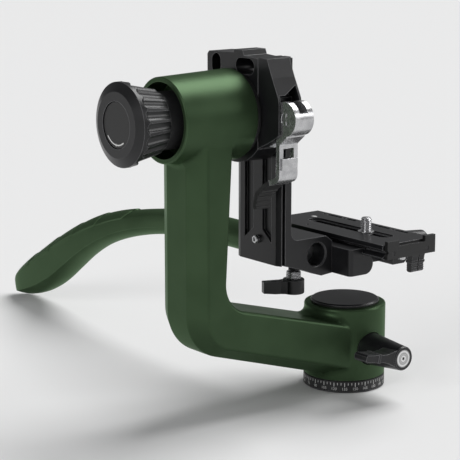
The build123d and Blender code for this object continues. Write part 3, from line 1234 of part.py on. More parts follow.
def shingle_section(run, rise):
    """Section of one raised shingle on the handle's top."""
    top, upper_x, upper_z = handle_shape(run)[:3]
    left = (-upper_x + 0.35, upper_z - 1.0)
    right = (upper_x - 0.35, upper_z - 1.0)
    line = [ThreePointArc(right, (0, top + rise), left), Line(left, right)]
    return handle_frame(run) * make_face(Curve() + line)


def steering_handle():
    """Curved handle: a rod that swells into a drooping grip with overlapping shingles on top."""
    straight = HANDLE_BEND_Y - HANDLE_START_Y
    body = extrude(handle_section(straight), amount=-straight)
    body = joined(body, loft([handle_section(row[0]) for row in HANDLE_SHAPE]))
    for start, end in zip(SHINGLES, SHINGLES[1:]):
        middle = (start + end) / 2
        wedge = loft([shingle_section(start, SHINGLE_STEP), shingle_section(middle, SHINGLE_STEP / 2 - 0.1),
                      shingle_section(end, -0.3)])
        body = joined(body, wedge)
    return body - along_y(SOCKET_R, HANDLE_START_Y - 1, SPIGOT_END_Y, SOCKET_X, SOCKET_Z)


def handle_spigot():
    """Steel spigot of the handle that turns and locks in the bracket's socket."""
    spigot = along_y(SOCKET_R, SPIGOT_START_Y, SPIGOT_END_Y, SOCKET_X, SOCKET_Z)
    groove = tube("y", SOCKET_R + 1, SOCKET_R - 0.8, -PINCH_STUD_R - 0.6, PINCH_STUD_R + 0.6,
                  (SOCKET_X, SOCKET_Z))
    return spigot - groove


# ================================================================ handle lock
def handle_lock_lever():
    """Small lever under the bracket that pinches the handle's spigot."""
    hub = turned("z", [
        (PINCH_HUB_Z0, PINCH_HUB_R - 0.4), (PINCH_HUB_Z0 + 0.4, PINCH_HUB_R),
        (PINCH_HUB_Z1 - 0.4, PINCH_HUB_R), (PINCH_HUB_Z1, PINCH_HUB_R - 0.4)], (SOCKET_X, 0))
    arm = prism("xy", [
        (0, PINCH_HUB_R - 0.6), (PINCH_ARM * 0.45, 2.9), (PINCH_ARM, 2.4), (PINCH_ARM, -2.4),
        (PINCH_ARM * 0.45, -2.9), (0, -PINCH_HUB_R + 0.6)], PINCH_HUB_Z0 + 0.3, PINCH_HUB_Z1 - 0.9)
    arm = Pos(SOCKET_X, 0, 0) * Rot(0, 0, PINCH_ANGLE) * arm
    rise = prism("xz", [
        (0, PINCH_HUB_Z0), (0, PINCH_HUB_Z0 - 3), (30, PINCH_HUB_Z0 - 3), (30, PINCH_HUB_Z0 + 2.0),
        (PINCH_HUB_R + 2, PINCH_HUB_Z0)], -10, 10)
    arm = arm - Pos(SOCKET_X, 0, 0) * Rot(0, 0, PINCH_ANGLE) * rise
    lever = joined(hub, arm)
    return lever - along_z(PINCH_STUD_R, PINCH_HUB_Z0 + 2, PINCH_HUB_Z1 + 1, SOCKET_X, 0)


def handle_lock_stud():
    """Bright threaded stud between the lever and the socket, with its collar."""
    tip = SOCKET_Z - SOCKET_R - 0.05 + 0.8
    stud = along_z(PINCH_STUD_R, PINCH_HUB_Z0 + 2, tip - 0.2, SOCKET_X, 0)
    collar = along_z(4.3, PINCH_HUB_Z1 + 0.1, BOSS_BOTTOM - 0.5, SOCKET_X, 0)
    return joined(stud, collar)


# ================================================================ build all
NODES = {
    "pan_base": pan_base,
    "pan_scale_ring": scale_ring,
    "pan_shaft": pan_shaft,
    "pan_flange_screws": pan_flange_screws,
    "pan_shaft_nut": lambda: lock_nut("z", UPPER_BEARING_TOP + 0.2, PAN_SHAFT_R - 1),
    "pan_lower_bearing": lambda: bearing("z", LOWER_BEARING_Z, PAN_SHAFT_R),
    "pan_upper_bearing": lambda: bearing("z", UPPER_BEARING_Z, PAN_SHAFT_R),
    "pan_washer": pan_washer,
    "pan_brake_pad": pan_brake_pad,
    "gimbal_arm": gimbal_arm,
    "base_cap": base_cap,
    "pan_lock_knob": pan_lock_knob,
    "pan_lock_disc": lambda: lock_disc(LOCK_FACE_Y, "y", (0, LOCK_Z), 1),
    "pan_lock_stud": pan_lock_stud,
    "tilt_knob": tilt_knob,
    "tilt_knob_dial": knob_dial,
    "tilt_knob_sleeve": knob_sleeve,
    "tilt_brake_pad": tilt_brake_pad,
    "tilt_inner_bearing": lambda: bearing_along_x(INNER_BEARING_X),
    "tilt_outer_bearing": lambda: bearing_along_x(OUTER_BEARING_X),
    "tilt_shaft_nut": lambda: Pos(0, 0, TILT_Z) * lock_nut("x", NUT_WELL_X + 1.0, TILT_SHAFT_R - 1),
    "tilt_shaft": tilt_shaft,
    "clamp_flange_screws": flange_screws,
    "swing_clamp_body": clamp_body,
    "sliding_jaw": sliding_jaw,
    "jaw_guide_pins": guide_pins,
    "jaw_springs": jaw_springs,
    "draw_bolt": draw_bolt,
    "draw_bolt_nut": bolt_nut,
    "clamp_lever": clamp_lever,
    "clamp_lever_grip": lever_grip,
    "clamp_lever_pin": lever_pin,
    "lever_safety_button": safety_button,
    "rail_stop_screw": rail_stop_screw,
    "l_bracket": l_bracket,
    "plate_clamp_body": plate_clamp_body,
    "plate_clamp_mount_screws": shelf_screws,
    "plate_clamp_guide_rods": clamp_guide_rods,
    "plate_clamp_jaw": plate_clamp_jaw,
    "plate_clamp_screw": plate_clamp_screw,
    "plate_clamp_knob": plate_clamp_knob,
    "lens_plate": lens_plate,
    "plate_end_stop": plate_end_stop,
    "plate_stop_screws": plate_stop_screws,
    "plate_safety_pins": plate_safety_pins,
    "camera_screw": camera_screw,
    "camera_screw_collar": screw_collar,
    "steering_handle": steering_handle,
    "handle_spigot": handle_spigot,
    "handle_lock_lever": handle_lock_lever,
    "handle_lock_stud": handle_lock_stud,
}


for name, make in NODES.items():
    save(name, make())
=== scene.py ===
# %% [markdown]
# # A gimbal tripod head, dressed for its picture
# The head comes in as a packed CAD model: 51 machined, cast and moulded pieces, each on the
# body that carries it. This lesson gives them their real finishes, cuts the screw threads, lays
# the scales on the handle and prints the marks, then sets up a small studio and a camera. It
# starts by loading the model.

# %% Load the packed head
import json
from math import atan2, cos, hypot, pi, radians, sin

import bmesh
import bpy
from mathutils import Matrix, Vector


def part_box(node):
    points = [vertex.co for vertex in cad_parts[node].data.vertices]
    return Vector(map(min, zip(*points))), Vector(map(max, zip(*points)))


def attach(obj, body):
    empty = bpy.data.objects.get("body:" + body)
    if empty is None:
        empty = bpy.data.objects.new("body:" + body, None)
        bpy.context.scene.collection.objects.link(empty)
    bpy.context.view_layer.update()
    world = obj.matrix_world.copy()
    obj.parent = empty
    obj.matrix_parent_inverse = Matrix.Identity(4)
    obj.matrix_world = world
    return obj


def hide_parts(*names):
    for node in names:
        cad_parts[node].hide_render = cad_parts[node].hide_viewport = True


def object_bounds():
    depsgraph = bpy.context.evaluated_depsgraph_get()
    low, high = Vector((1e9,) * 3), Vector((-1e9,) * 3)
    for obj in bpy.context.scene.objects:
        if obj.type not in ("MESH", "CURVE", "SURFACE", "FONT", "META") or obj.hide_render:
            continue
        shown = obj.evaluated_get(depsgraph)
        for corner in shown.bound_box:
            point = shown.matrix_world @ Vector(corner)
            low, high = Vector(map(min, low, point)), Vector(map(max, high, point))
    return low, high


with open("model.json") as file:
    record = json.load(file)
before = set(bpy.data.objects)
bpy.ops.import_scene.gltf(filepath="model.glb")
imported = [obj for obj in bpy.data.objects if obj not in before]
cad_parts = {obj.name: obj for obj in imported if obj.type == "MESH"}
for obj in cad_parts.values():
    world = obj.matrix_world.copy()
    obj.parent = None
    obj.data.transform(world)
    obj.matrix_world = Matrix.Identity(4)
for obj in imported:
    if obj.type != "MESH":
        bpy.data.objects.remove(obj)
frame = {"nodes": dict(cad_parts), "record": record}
cad_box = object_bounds()

# %% [markdown]
# The model is in metres, but a maker thinks of this head in millimetres. One number turns the
# one into the other. The pan axis is Z, and the tilt axis lies along X at the top of the arm.

# %% Sizes that several pieces share
MM = 0.001
BASE_R = 23.7 * MM      # the base and the arm's foot
RING_TOP = 7.0 * MM     # upper edge of the graduated ring
TILT_Z = 165.8 * MM     # height of the tilt axis
low, high = [[round(v / MM, 1) for v in corner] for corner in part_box("gimbal_arm")]
print("arm casting, mm:", low, high)

# %% [markdown]
# ## The camera
# The photograph was taken from the knob's side, a little above the head, with a long lens that
# hardly narrows the far end of the handle. The angles below were found by fitting the round
# base, cap, housing and knob. A long lens a metre away keeps the arm's upright looking upright.

# %% Camera at the photograph's angle
FOCAL_LENGTH = 127.12                       # millimetres, for a picture 36 mm wide
CAMERA_AT = (-0.6168, -0.6854, 0.2818)      # metres
CAMERA_PITCH = radians(78.29)               # 90 degrees would look level
CAMERA_HEADING = radians(-37.82)            # 0 would look along +Y
lens = bpy.data.cameras.new("studio_camera")
lens.lens = FOCAL_LENGTH
camera = bpy.data.objects.new("studio_camera", lens)
camera.location = CAMERA_AT
camera.rotation_euler = (CAMERA_PITCH, 0, CAMERA_HEADING)
bpy.context.scene.collection.objects.link(camera)
bpy.context.scene.camera = camera
print("camera", round(hypot(*camera.location), 3), "m from the foot")

# %% [markdown]
# ## Shader maths as arithmetic
# A finish is a small sum: a colour times a mottle, a roughness plus some grain. Nodes can say
# all of that, but wiring them by hand hides the sum. So one class wraps a socket and lets
# Python's own signs add the nodes. Plain values go to Math nodes. Colours and vectors go to Mix
# and Vector Math, because a Math node would turn a colour grey.


# %% A socket that can be added and multiplied
class Wire:
    """One output socket of a finish, used in Python sums."""

    def __init__(self, finish, socket):
        self.finish = finish
        self.socket = socket

    def __add__(self, other):
        return self.finish.combine("ADD", self, other)

    def __radd__(self, other):
        return self.finish.combine("ADD", other, self)

    def __sub__(self, other):
        return self.finish.combine("SUBTRACT", self, other)

    def __rsub__(self, other):
        return self.finish.combine("SUBTRACT", other, self)

    def __mul__(self, other):
        return self.finish.combine("MULTIPLY", self, other)

    def __rmul__(self, other):
        return self.finish.combine("MULTIPLY", other, self)


# %% [markdown]
# A finish starts as Blender's Principled surface. Whatever is the same all over is set on the
# surface's own socket. Whatever changes over the piece is wired in: colour, roughness, and the
# small relief that a bump gives.


# %% The finish: one material and its nodes
class Finish:
    """A material in the making."""

    def __init__(self, name, **steady):
        self.material = bpy.data.materials.new(name)
        self.material.use_nodes = True
        self.tree = self.material.node_tree
        self.skin = self.tree.nodes["Principled BSDF"]
        for socket, value in steady.items():
            self.plug(self.skin.inputs[socket.replace("_", " ")], value)

    def plug(self, socket, value):
        """Link a wire to a socket, or set a plain value on it."""
        if isinstance(value, Wire):
            self.tree.links.new(value.socket, socket)
        elif socket.type in ("RGBA", "VECTOR"):
            parts = list(value) if hasattr(value, "__len__") else [value] * 3
            socket.default_value = parts + [1.0] if socket.type == "RGBA" else parts
        else:
            socket.default_value = value

    def node(self, kind, settings=None, sockets=None, out=0):
        """Add any node: its settings first, then its sockets. One output comes back."""
        made = self.tree.nodes.new(kind)
        for name, value in (settings or {}).items():
            if name == "stops":
                for stop, (where, colour) in zip(made.color_ramp.elements, value):
                    stop.position = where
                    stop.color = (*colour, 1.0)
            else:
                setattr(made, name, value)
        for name, value in (sockets or {}).items():
            self.plug(made.inputs[name], value)
        return Wire(self, made.outputs[out])

    def combine(self, sign, left, right):
        """The node that stands for a sign of a Python sum."""
        kinds = {w.socket.type for w in (left, right) if isinstance(w, Wire)}
        if "RGBA" in kinds:
            return self.blend(1.0, left, right, sign)
        kind = "ShaderNodeVectorMath" if "VECTOR" in kinds else "ShaderNodeMath"
        return self.node(kind, {"operation": sign}, {0: left, 1: right})

    def blend(self, part, ground, over, sign="MIX"):
        """One colour over another, by a part from 0 to 1."""
        return self.node("ShaderNodeMix", {"data_type": "RGBA", "blend_type": sign},
                         {0: part, 6: ground, 7: over}, out=2)

    def tones(self, mask, *stops):
        """A colour that follows a mask through stops, each a place and a colour."""
        return self.node("ShaderNodeValToRGB", {"stops": stops}, {0: mask})

    def wear(self, colour, roughness, height, relief):
        """Wire the surface: its colour, its roughness and a relief in metres."""
        self.plug(self.skin.inputs["Base Color"], colour)
        self.plug(self.skin.inputs["Roughness"], roughness)
        bump = self.node("ShaderNodeBump", {}, {
            "Height": height, "Distance": relief, "Normal": self.soft_edges()})
        self.plug(self.skin.inputs["Normal"], bump)
        return self.material

    def place(self):
        """Where a point is on the piece, in metres. It travels with the piece."""
        return self.node("ShaderNodeTexCoord", out="Object")

    def soft_edges(self, radius=0.35 * MM):
        """A normal that rolls over each machined edge, as a deburred edge does."""
        return self.node("ShaderNodeBevel", {"samples": 6}, {"Radius": radius})

    # This edge mask also carries the painted highlights along the edges.
    def edges(self, radius=0.5 * MM):
        """0 where the surface turns by less than 8 degrees, and 1 from 28 degrees."""
        turn = self.node("ShaderNodeVectorMath", {"operation": "DOT_PRODUCT"}, {
            0: self.soft_edges(radius), 1: self.node("ShaderNodeNewGeometry", out="Normal")},
            out="Value")
        return self.node("ShaderNodeMapRange", {}, {
            "Value": 1 - turn, "From Min": 0.01, "From Max": 0.12})

    def grain(self, per_metre, detail, stretch=(1, 1, 1)):
        """Noise around 0.5 with that many grains to the metre."""
        where = self.place() * Vector(stretch)
        return self.node("ShaderNodeTexNoise", {}, {
            "Vector": where, "Scale": per_metre, "Detail": detail})


print("a finish wires", ", ".join(n for n in vars(Finish) if not n.startswith("_")))

# %% [markdown]
# ## Green satin paint
# The arm and the handle are cast aluminium under a satin powder coat: dark olive green, smooth,
# with a very fine orange peel. A plain paint would have a white highlight, but this one has
# fine metal flake in it, so its broad highlight is green too: half metallic says that, and a
# green specular tint says it for light that only grazes the surface. The edges are painted
# paler, a painted highlight along each edge.


# %% Green powder coat
def green_powder_coat():
    coat = Finish("green_powder_coat", Metallic=0.5, Specular_IOR_Level=0.3,
                  Specular_Tint=(0.5, 0.8, 0.45))
    mottle = coat.grain(55, 2.0)
    peel = coat.grain(1500, 2.0)
    edge = coat.edges(0.7 * MM)
    green = coat.tones(mottle, (0.3, (0.036, 0.062, 0.031)), (0.7, (0.044, 0.074, 0.038)))
    # Painted highlight: the colour turns paler along the edges.
    colour = coat.blend(edge * 0.4, green, (0.17, 0.26, 0.15))
    rough = 0.40 + (peel - 0.5) * 0.10 + (mottle - 0.5) * 0.08 - edge * 0.05
    return coat.wear(colour, rough, peel, 0.012 * MM)


# %% [markdown]
# ## Black anodising
# The clamps, the bracket, the plate and the knobs are aluminium, bead-blasted and dyed black.
# Blasting leaves pits of about a quarter of a millimetre that spread the highlight. The film is
# glass-like and thin. The edges are painted pale grey, a painted highlight along each edge.


# %% Black anodised aluminium
def black_anodising():
    film = Finish("black_anodising", Specular_IOR_Level=0.36)
    blast = film.grain(4200, 2.0)
    cloud = film.grain(90, 3.0)
    edge = film.edges(0.5 * MM)
    black = film.tones(cloud, (0.3, (0.006, 0.006, 0.007)), (0.7, (0.010, 0.010, 0.011)))
    # Painted highlight: the edges are painted pale grey.
    colour = film.blend(edge * 0.6, black, (0.30, 0.30, 0.31))
    rough = 0.33 + (blast - 0.5) * 0.14 + (cloud - 0.5) * 0.08
    return film.wear(colour, rough, blast, 0.010 * MM)


# %% [markdown]
# ## Dark coat on the graduated ring
# The ring and the knob's sleeve are flatter than the anodised parts: a hard dark coat with a
# very fine turned grain under it, so that the printed figures read well.


# %% Dark flat coat
def dark_flat_coat():
    film = Finish("dark_flat_coat", Metallic=0.25)
    speck = film.grain(3000, 2.0)
    turned = film.grain(2600, 2.0, (0.04, 0.04, 1.0))
    edge = film.edges(0.3 * MM)
    black = film.tones(speck, (0.3, (0.019, 0.019, 0.020)), (0.7, (0.027, 0.027, 0.028)))
    # Painted highlight: the colour is a little lighter along the edges.
    colour = black + edge * 0.03
    rough = 0.50 + (turned - 0.5) * 0.15
    return film.wear(colour, rough, turned, 0.006 * MM)


# %% [markdown]
# ## Bright steel
# The clamp lever is an investment casting that was tumbled bright, and the pins and screws are
# polished. Tumbling rounds the grain into soft waves with short fine scratches across them, and
# leaves a little matt grey, so the surface isn't a full mirror.


# %% Tumbled and polished steel
def bright_steel():
    steel = Finish("bright_steel", Metallic=0.9)
    waves = steel.grain(260, 2.0)
    scratch = steel.grain(3800, 3.0, (1.0, 0.25, 0.06))
    edge = steel.edges(0.4 * MM)
    tone = steel.tones(waves, (0.25, (0.42, 0.42, 0.43)), (0.75, (0.60, 0.60, 0.61)))
    # Painted highlight: the colour is lighter along the edges.
    colour = tone + edge * 0.15
    rough = 0.26 + (waves - 0.5) * 0.14 + (scratch - 0.5) * 0.12
    return steel.wear(colour, rough, waves * 0.7 + scratch * 0.3, 0.018 * MM)


# %% [markdown]
# ## Zinc-plated steel
# Shafts, bearings, nuts and hidden screws are plated. Plating is greyer than polish, with a
# cloudy bloom.


# %% Zinc plating
def zinc_plating():
    zinc = Finish("zinc_plating", Metallic=1.0)
    bloom = zinc.grain(400, 3.0)
    fine = zinc.grain(5000, 1.0)
    tone = zinc.tones(bloom, (0.3, (0.38, 0.39, 0.40)), (0.7, (0.52, 0.53, 0.54)))
    rough = 0.34 + (bloom - 0.5) * 0.16
    return zinc.wear(tone, rough, fine, 0.004 * MM)


# %% [markdown]
# ## Turned faces
# The disc in the tilt knob and the bright one in the pan lock are faced on a lathe. The grooves
# are circles about the knob's axis, so the grain is noise that changes only with the distance
# from that axis. The dark disc has fine grooves, and the bright one has a few broad rings.


# %% Lathe-faced disc
def faced_disc(name, centre, across, per_metre, dark, light, relief, **steady):
    """Circles about a centre, where across is 1 along the two directions of the face."""
    disc = Finish(name, **steady)
    spoke = disc.node("ShaderNodeVectorMath", {"operation": "LENGTH"}, {
        0: (disc.place() - Vector(centre)) * Vector(across)}, out="Value")
    rings = disc.node("ShaderNodeTexNoise", {"noise_dimensions": "1D"}, {
        "W": spoke, "Scale": per_metre, "Detail": 2.0})
    blast = disc.grain(4200, 2.0)
    tone = disc.tones(rings, (0.4, (dark, dark, dark)), (0.6, (light, light, light)))
    rough = 0.38 + (rings - 0.5) * 0.12 + (blast - 0.5) * 0.1
    return disc.wear(tone, rough, rings * 0.6 + blast * 0.4, relief)


# %% [markdown]
# ## Moulded grip and friction pads
# The lever's grip is moulded nylon with a spark-eroded mould texture. The brake pads are a pale
# acetal. Both are plain dielectrics, told apart by grain and gloss.


# %% Moulded nylon
def moulded_nylon():
    nylon = Finish("moulded_nylon", Specular_IOR_Level=0.4)
    spark = nylon.grain(2600, 4.0)
    cloud = nylon.grain(120, 2.0)
    tone = nylon.tones(cloud, (0.3, (0.012, 0.012, 0.012)), (0.7, (0.021, 0.021, 0.021)))
    return nylon.wear(tone, 0.50 + (spark - 0.5) * 0.2, spark, 0.02 * MM)


# %% Acetal pad
def pale_acetal():
    pad = Finish("pale_acetal")
    cloud = pad.grain(300, 3.0)
    tone = pad.tones(cloud, (0.3, (0.62, 0.60, 0.55)), (0.7, (0.72, 0.70, 0.65)))
    return pad.wear(tone, 0.45 + (cloud - 0.5) * 0.2, cloud, 0.01 * MM)


# %% [markdown]
# ## Printed marks
# Figures, ticks and the arc on the knob are white ink, a film a few hundredths of a millimetre
# thick that wears a little unevenly.


# %% White ink
def white_ink():
    ink = Finish("white_ink", Specular_IOR_Level=0.35)
    patchy = ink.grain(2500, 3.0)
    tone = ink.tones(patchy, (0.3, (0.60, 0.60, 0.59)), (0.6, (0.78, 0.78, 0.77)))
    return ink.wear(tone, 0.55 + (patchy - 0.5) * 0.2, patchy, 0.004 * MM)


# %% [markdown]
# ## Dressing the pieces
# The packed model names a material slot for every piece. The finishes are handed out by that
# name, so each CAD piece keeps its mesh and only its look changes. The bright disc in the pan
# lock shares its slot with other pieces, so it gets its turned face by its own name.

# %% Hand out the finishes
FINISHES = {
    "green_paint": green_powder_coat(),
    "black_anodised": black_anodising(),
    "dark_coated": dark_flat_coat(),
    "bright_steel": bright_steel(),
    "zinc_steel": zinc_plating(),
    "knob_face": faced_disc("faced_black_disc", centre=(0, 0, TILT_Z), across=(0, 1, 1),
                            per_metre=5200, dark=0.024, light=0.036, relief=0.008 * MM,
                            Metallic=0.6),
    "black_plastic": moulded_nylon(),
    "friction_pad": pale_acetal(),
}
WHITE_INK = white_ink()
slot_of = {row["node"]: row["material_slot"] for row in frame["record"]["subparts"]}
for name, piece in frame["nodes"].items():
    for patch in piece.material_slots:
        patch.material = FINISHES[slot_of[name]]
lock_low, lock_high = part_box("pan_lock_disc")
lock_axis = (lock_low + lock_high) / 2
frame["nodes"]["pan_lock_disc"].material_slots[0].material = faced_disc(
    "faced_bright_disc", centre=(lock_axis.x, 0, lock_axis.z), across=(1, 0, 1), per_metre=1100,
    dark=0.32, light=0.86, relief=0.05 * MM, Metallic=0.85)
print({slot: list(slot_of.values()).count(slot) for slot in FINISHES})

# %% [markdown]
# ## Making a mesh piece
# Every piece that Blender adds is made from a list of points and faces, is given a finish and
# rides on the body that carries it, so that it moves when the joint moves. The faces may be
# listed either way round, because they are turned to look outwards, except for text, which
# comes with its faces right.


# %% From points to a piece on its body
def make_piece(name, points, faces, body, finish, smooth=True, turn_out=True):
    """A closed mesh with its finish on, riding on its body. The points are in metres."""
    mesh = bpy.data.meshes.new(name)
    mesh.from_pydata([tuple(p) for p in points], [], faces)
    if turn_out:
        shell = bmesh.new()
        shell.from_mesh(mesh)
        bmesh.ops.recalc_face_normals(shell, faces=shell.faces)
        shell.to_mesh(mesh)
        shell.free()
    piece = bpy.data.objects.new(name, mesh)
    bpy.context.scene.collection.objects.link(piece)
    mesh.materials.append(finish)
    if smooth:
        mesh.shade_smooth()
    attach(piece, body)
    print(f"{name}: {len(points)} points on {body}")
    return piece


# %% [markdown]
# A screw, a button and the handle are all tubes to the mesh: rings with the same number of
# points, joined by four-sided faces and closed by a lid on each end. One helper lists the faces.


# %% Walls and lids of a tube
def tube_faces(rings, around):
    """Faces that join rings of points in the given order, with a lid on each end."""
    walls = [(a * around + k, a * around + (k + 1) % around,
              b * around + (k + 1) % around, b * around + k)
             for a, b in zip(rings, rings[1:]) for k in range(around)]
    start, end = [tuple(ring * around + k for k in range(around)) for ring in (rings[0], rings[-1])]
    return walls + [start[::-1], end]


print("a square tube has", len(tube_faces(range(2), 4)), "faces")

# %% [markdown]
# ## Screw threads
# A thread is a ridge that climbs as it goes round. On a lathe profile that means one small
# change: the radius at a height also depends on the angle, as a zigzag that repeats once a
# pitch. CAD could cut it, at a great cost in faces, so the CAD screws are plain and the real
# thread is made here, on the same axis and to the same lengths.


# %% Lathe work with a thread
CREST_FLAT = 0.15       # how much of the zigzag is cut off flat at the crest
FLANK = 1.35            # how steep the zigzag is: past 1.15 it leaves a flat at the root too
ROWS_A_PITCH = 8


def thread_depth(height, turn, pitch):
    """0 on the crest and 1 at the root of a thread with small flats."""
    phase = (height / pitch - turn) % 1.0
    return min(1.0, max(0.0, FLANK * (1 - abs(2 * phase - 1)) - CREST_FLAT))


def threaded_turning(name, axis_at, profile, pitch, body, finish, around=40):
    """Lathe a profile of (height, radius, thread depth) rows about a vertical axis."""
    rows = []
    for (z0, r0, d0), (z1, r1, d1) in zip(profile, profile[1:]):
        steps = max(1, round(abs(z1 - z0) / (pitch / ROWS_A_PITCH))) if d0 or d1 else 1
        for k in range(steps):
            t = k / steps
            rows.append((z0 + t * (z1 - z0), r0 + t * (r1 - r0), d0 + t * (d1 - d0)))
    rows.append(profile[-1])
    points = []
    for z, r, depth in rows:
        for k in range(around):
            cut = depth * thread_depth(z, k / around, pitch)
            angle = 2 * pi * k / around
            points.append((axis_at[0] + (r - cut) * cos(angle),
                           axis_at[1] + (r - cut) * sin(angle), z))
    return make_piece(name, points, tube_faces(range(len(rows)), around), body, finish)


# %% [markdown]
# The camera screw is a 1/4 inch-20: 6.35 mm over the crests and 1.27 mm from crest to crest. Its
# head is flat and sits in the plate, and its tip is chamfered so that it finds the hole.

# %% Camera screw
STEP = 0.01 * MM            # height of a square step, which a lathe profile can't have at 0
low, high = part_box("camera_screw")
collar_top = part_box("camera_screw_collar")[1].z
screw_at = ((low.x + high.x) / 2, (low.y + high.y) / 2)
head_r = (high.x - low.x) / 2
seat = low.z + 2.8 * MM     # the upper face of the head
neck_r = 2.6 * MM           # plain, inside the collar
crest_r = 3.175 * MM
tip_r = 2.4 * MM
thread = 0.62 * MM          # from crest to root
camera_screw = threaded_turning("camera_screw_threaded", screw_at, [
    (low.z, head_r - 0.4 * MM, 0), (low.z + 0.4 * MM, head_r, 0), (seat - 0.3 * MM, head_r, 0),
    (seat, head_r - 0.3 * MM, 0), (seat + STEP, neck_r, 0), (collar_top, neck_r, 0),
    (collar_top + 0.3 * MM, crest_r, thread), (high.z - 0.8 * MM, crest_r, thread),
    (high.z, tip_r, 0)], 1.27 * MM, "screw", FINISHES["bright_steel"])

# %% [markdown]
# The stud of the handle's pinch lever shows a short knurled and threaded collar between the lever
# and the socket. It is cut in the same way, with a finer pitch.

# %% Stud of the handle's lock
low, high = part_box("handle_lock_stud")
stud_at = ((low.x + high.x) / 2, (low.y + high.y) / 2)
collar_r = (high.x - low.x) / 2
shank_r = 3.0 * MM
collar_z0, collar_z1 = 68.3 * MM, 72.5 * MM     # the collar, between the lever and the socket
edge = 0.4 * MM                                 # its chamfers
fine = 0.32 * MM                                # depth of its thread
lock_stud = threaded_turning("handle_lock_stud_threaded", stud_at, [
    (low.z, shank_r, 0), (collar_z0 - STEP, shank_r, 0), (collar_z0, collar_r - fine, 0),
    (collar_z0 + edge, collar_r, fine), (collar_z1 - edge, collar_r, fine),
    (collar_z1, collar_r - fine, 0), (collar_z1 + STEP, shank_r, 0),
    (high.z, shank_r, 0)], 0.9 * MM, "handle_lock", FINISHES["bright_steel"])

# %% [markdown]
# ## The steering handle
# The handle is a cast rod that droops and swells into a grip, and its top is laid with five long
# overlapping scales. CAD gives it the right body, with plain wedges for the scales. Here it is
# drawn again from the same sections, ring by ring, so that each scale has the real one's bowed
# front edge and fine step. A ring is four arcs: the top, two side facets and the keel.

# %% The handle's sizes, in millimetres
SOCKET = (-39.2, 85.4)      # the socket's axis as x and z
ROD_START = 21.0            # where the rod leaves the socket
BEND_START = 51.0           # length of straight rod before the bend
BEND_R = 343.0
DROOP = radians(30.3)
BORE_R, BORE_END = 6.5, 45.0    # bore for the steel spigot, and how far it goes in
# distance along the centre line, then the top, the upper crease's x and z, how far the side
# facet bulges, the lower crease's x and z, and the depth of the keel
SECTIONS = (
    (51.0, 8.4, 6.88, 4.82, 1.52, 6.88, -4.82, 8.4),
    (85.0, 8.1, 6.9, 4.9, 0.7, 7.6, -3.4, 8.1),
    (110.0, 8.0, 6.9, 4.6, 0.3, 8.0, -2.8, 8.0),
    (132.0, 8.6, 7.0, 4.5, 0.2, 8.4, -2.9, 8.1),
    (150.0, 9.8, 7.2, 4.8, 0.2, 8.7, -3.4, 8.3),
    (166.0, 10.6, 7.5, 5.1, 0.2, 9.1, -4.3, 8.7),
    (181.0, 11.0, 7.8, 5.3, 0.2, 9.5, -5.6, 9.6),
    (204.0, 11.2, 8.1, 5.8, 0.2, 10.0, -8.1, 11.9),
    (225.0, 11.5, 8.3, 6.3, 0.2, 10.4, -10.2, 14.7),
    (245.0, 11.8, 8.4, 6.8, 0.2, 10.6, -10.9, 16.4),
    (262.0, 12.0, 8.3, 7.1, 0.2, 10.5, -9.6, 15.5),
    (275.0, 11.9, 8.0, 7.2, 0.2, 10.1, -7.6, 13.0),
    (286.0, 11.5, 7.4, 7.0, 0.2, 9.3, -5.4, 9.7),
    (293.0, 10.6, 6.3, 6.6, 0.2, 8.0, -3.8, 6.4),
    (297.0, 9.3, 4.8, 6.0, 0.2, 6.2, -2.6, 3.7),
    (298.6, 8.0, 3.4, 5.4, 0.2, 4.6, -1.8, 2.4))
print(len(SECTIONS), "sections over", SECTIONS[-1][0], "mm")

# %% [markdown]
# The table has 16 sections, and the rings stand closer than that. Between two rows a smooth curve
# through the four nearest rows gives each size, so that no row shows as a kink. Each arc of a
# section then runs through three points: two creases and one point between them.


# %% A section anywhere along the handle
def eased(values, part):
    """Value between the middle two of four neighbours, on a smooth curve."""
    a, b, c, d = values
    return b + 0.5 * part * (c - a + part * (2 * a - 5 * b + 4 * c - d
                                             + part * (3 * (b - c) + d - a)))


def section_at(run):
    """Section sizes at a distance along the centre line."""
    if run <= SECTIONS[0][0]:
        return SECTIONS[0][1:]
    last = len(SECTIONS) - 1
    k = min(max(i for i, row in enumerate(SECTIONS) if row[0] <= run), last - 1)
    part = min((run - SECTIONS[k][0]) / (SECTIONS[k + 1][0] - SECTIONS[k][0]), 1.0)
    rows = [SECTIONS[max(k - 1, 0)], SECTIONS[k], SECTIONS[k + 1], SECTIONS[min(k + 2, last)]]
    return [eased([row[i] for row in rows], part) for i in range(1, 8)]


def on_arc(a, b, c, part):
    """Point on the circle arc from a over b to c, part of the way along."""
    turn = 2 * (a[0] * (b[1] - c[1]) + b[0] * (c[1] - a[1]) + c[0] * (a[1] - b[1]))
    squares = [x * x + y * y for x, y in (a, b, c)]
    cx = sum(q * dy for q, dy in zip(squares, (b[1] - c[1], c[1] - a[1], a[1] - b[1]))) / turn
    cy = sum(q * dx for q, dx in zip(squares, (c[0] - b[0], a[0] - c[0], b[0] - a[0]))) / turn
    start = atan2(a[1] - cy, a[0] - cx)
    sweep = (atan2(c[1] - cy, c[0] - cx) - start) % (2 * pi)
    if (atan2(b[1] - cy, b[0] - cx) - start) % (2 * pi) > sweep:
        sweep -= 2 * pi
    radius = hypot(a[0] - cx, a[1] - cy)
    return cx + radius * cos(start + part * sweep), cy + radius * sin(start + part * sweep)


def on_section(run, side, part):
    """Point of the section: side 0 is the top, 1 and 3 are the facets, 2 is the keel."""
    top, ux, uz, bulge, lx, lz, low = section_at(run)
    out, mid = (ux + lx) / 2 + bulge, (uz + lz) / 2
    arcs = (((ux, uz), (0, top), (-ux, uz)), ((-ux, uz), (-out, mid), (-lx, lz)),
            ((-lx, lz), (0, -low), (lx, lz)), ((lx, lz), (out, mid), (ux, uz)))
    return on_arc(*arcs[side], part)


print("mid grip, mm:", [round(v, 1) for v in section_at(204.0)])

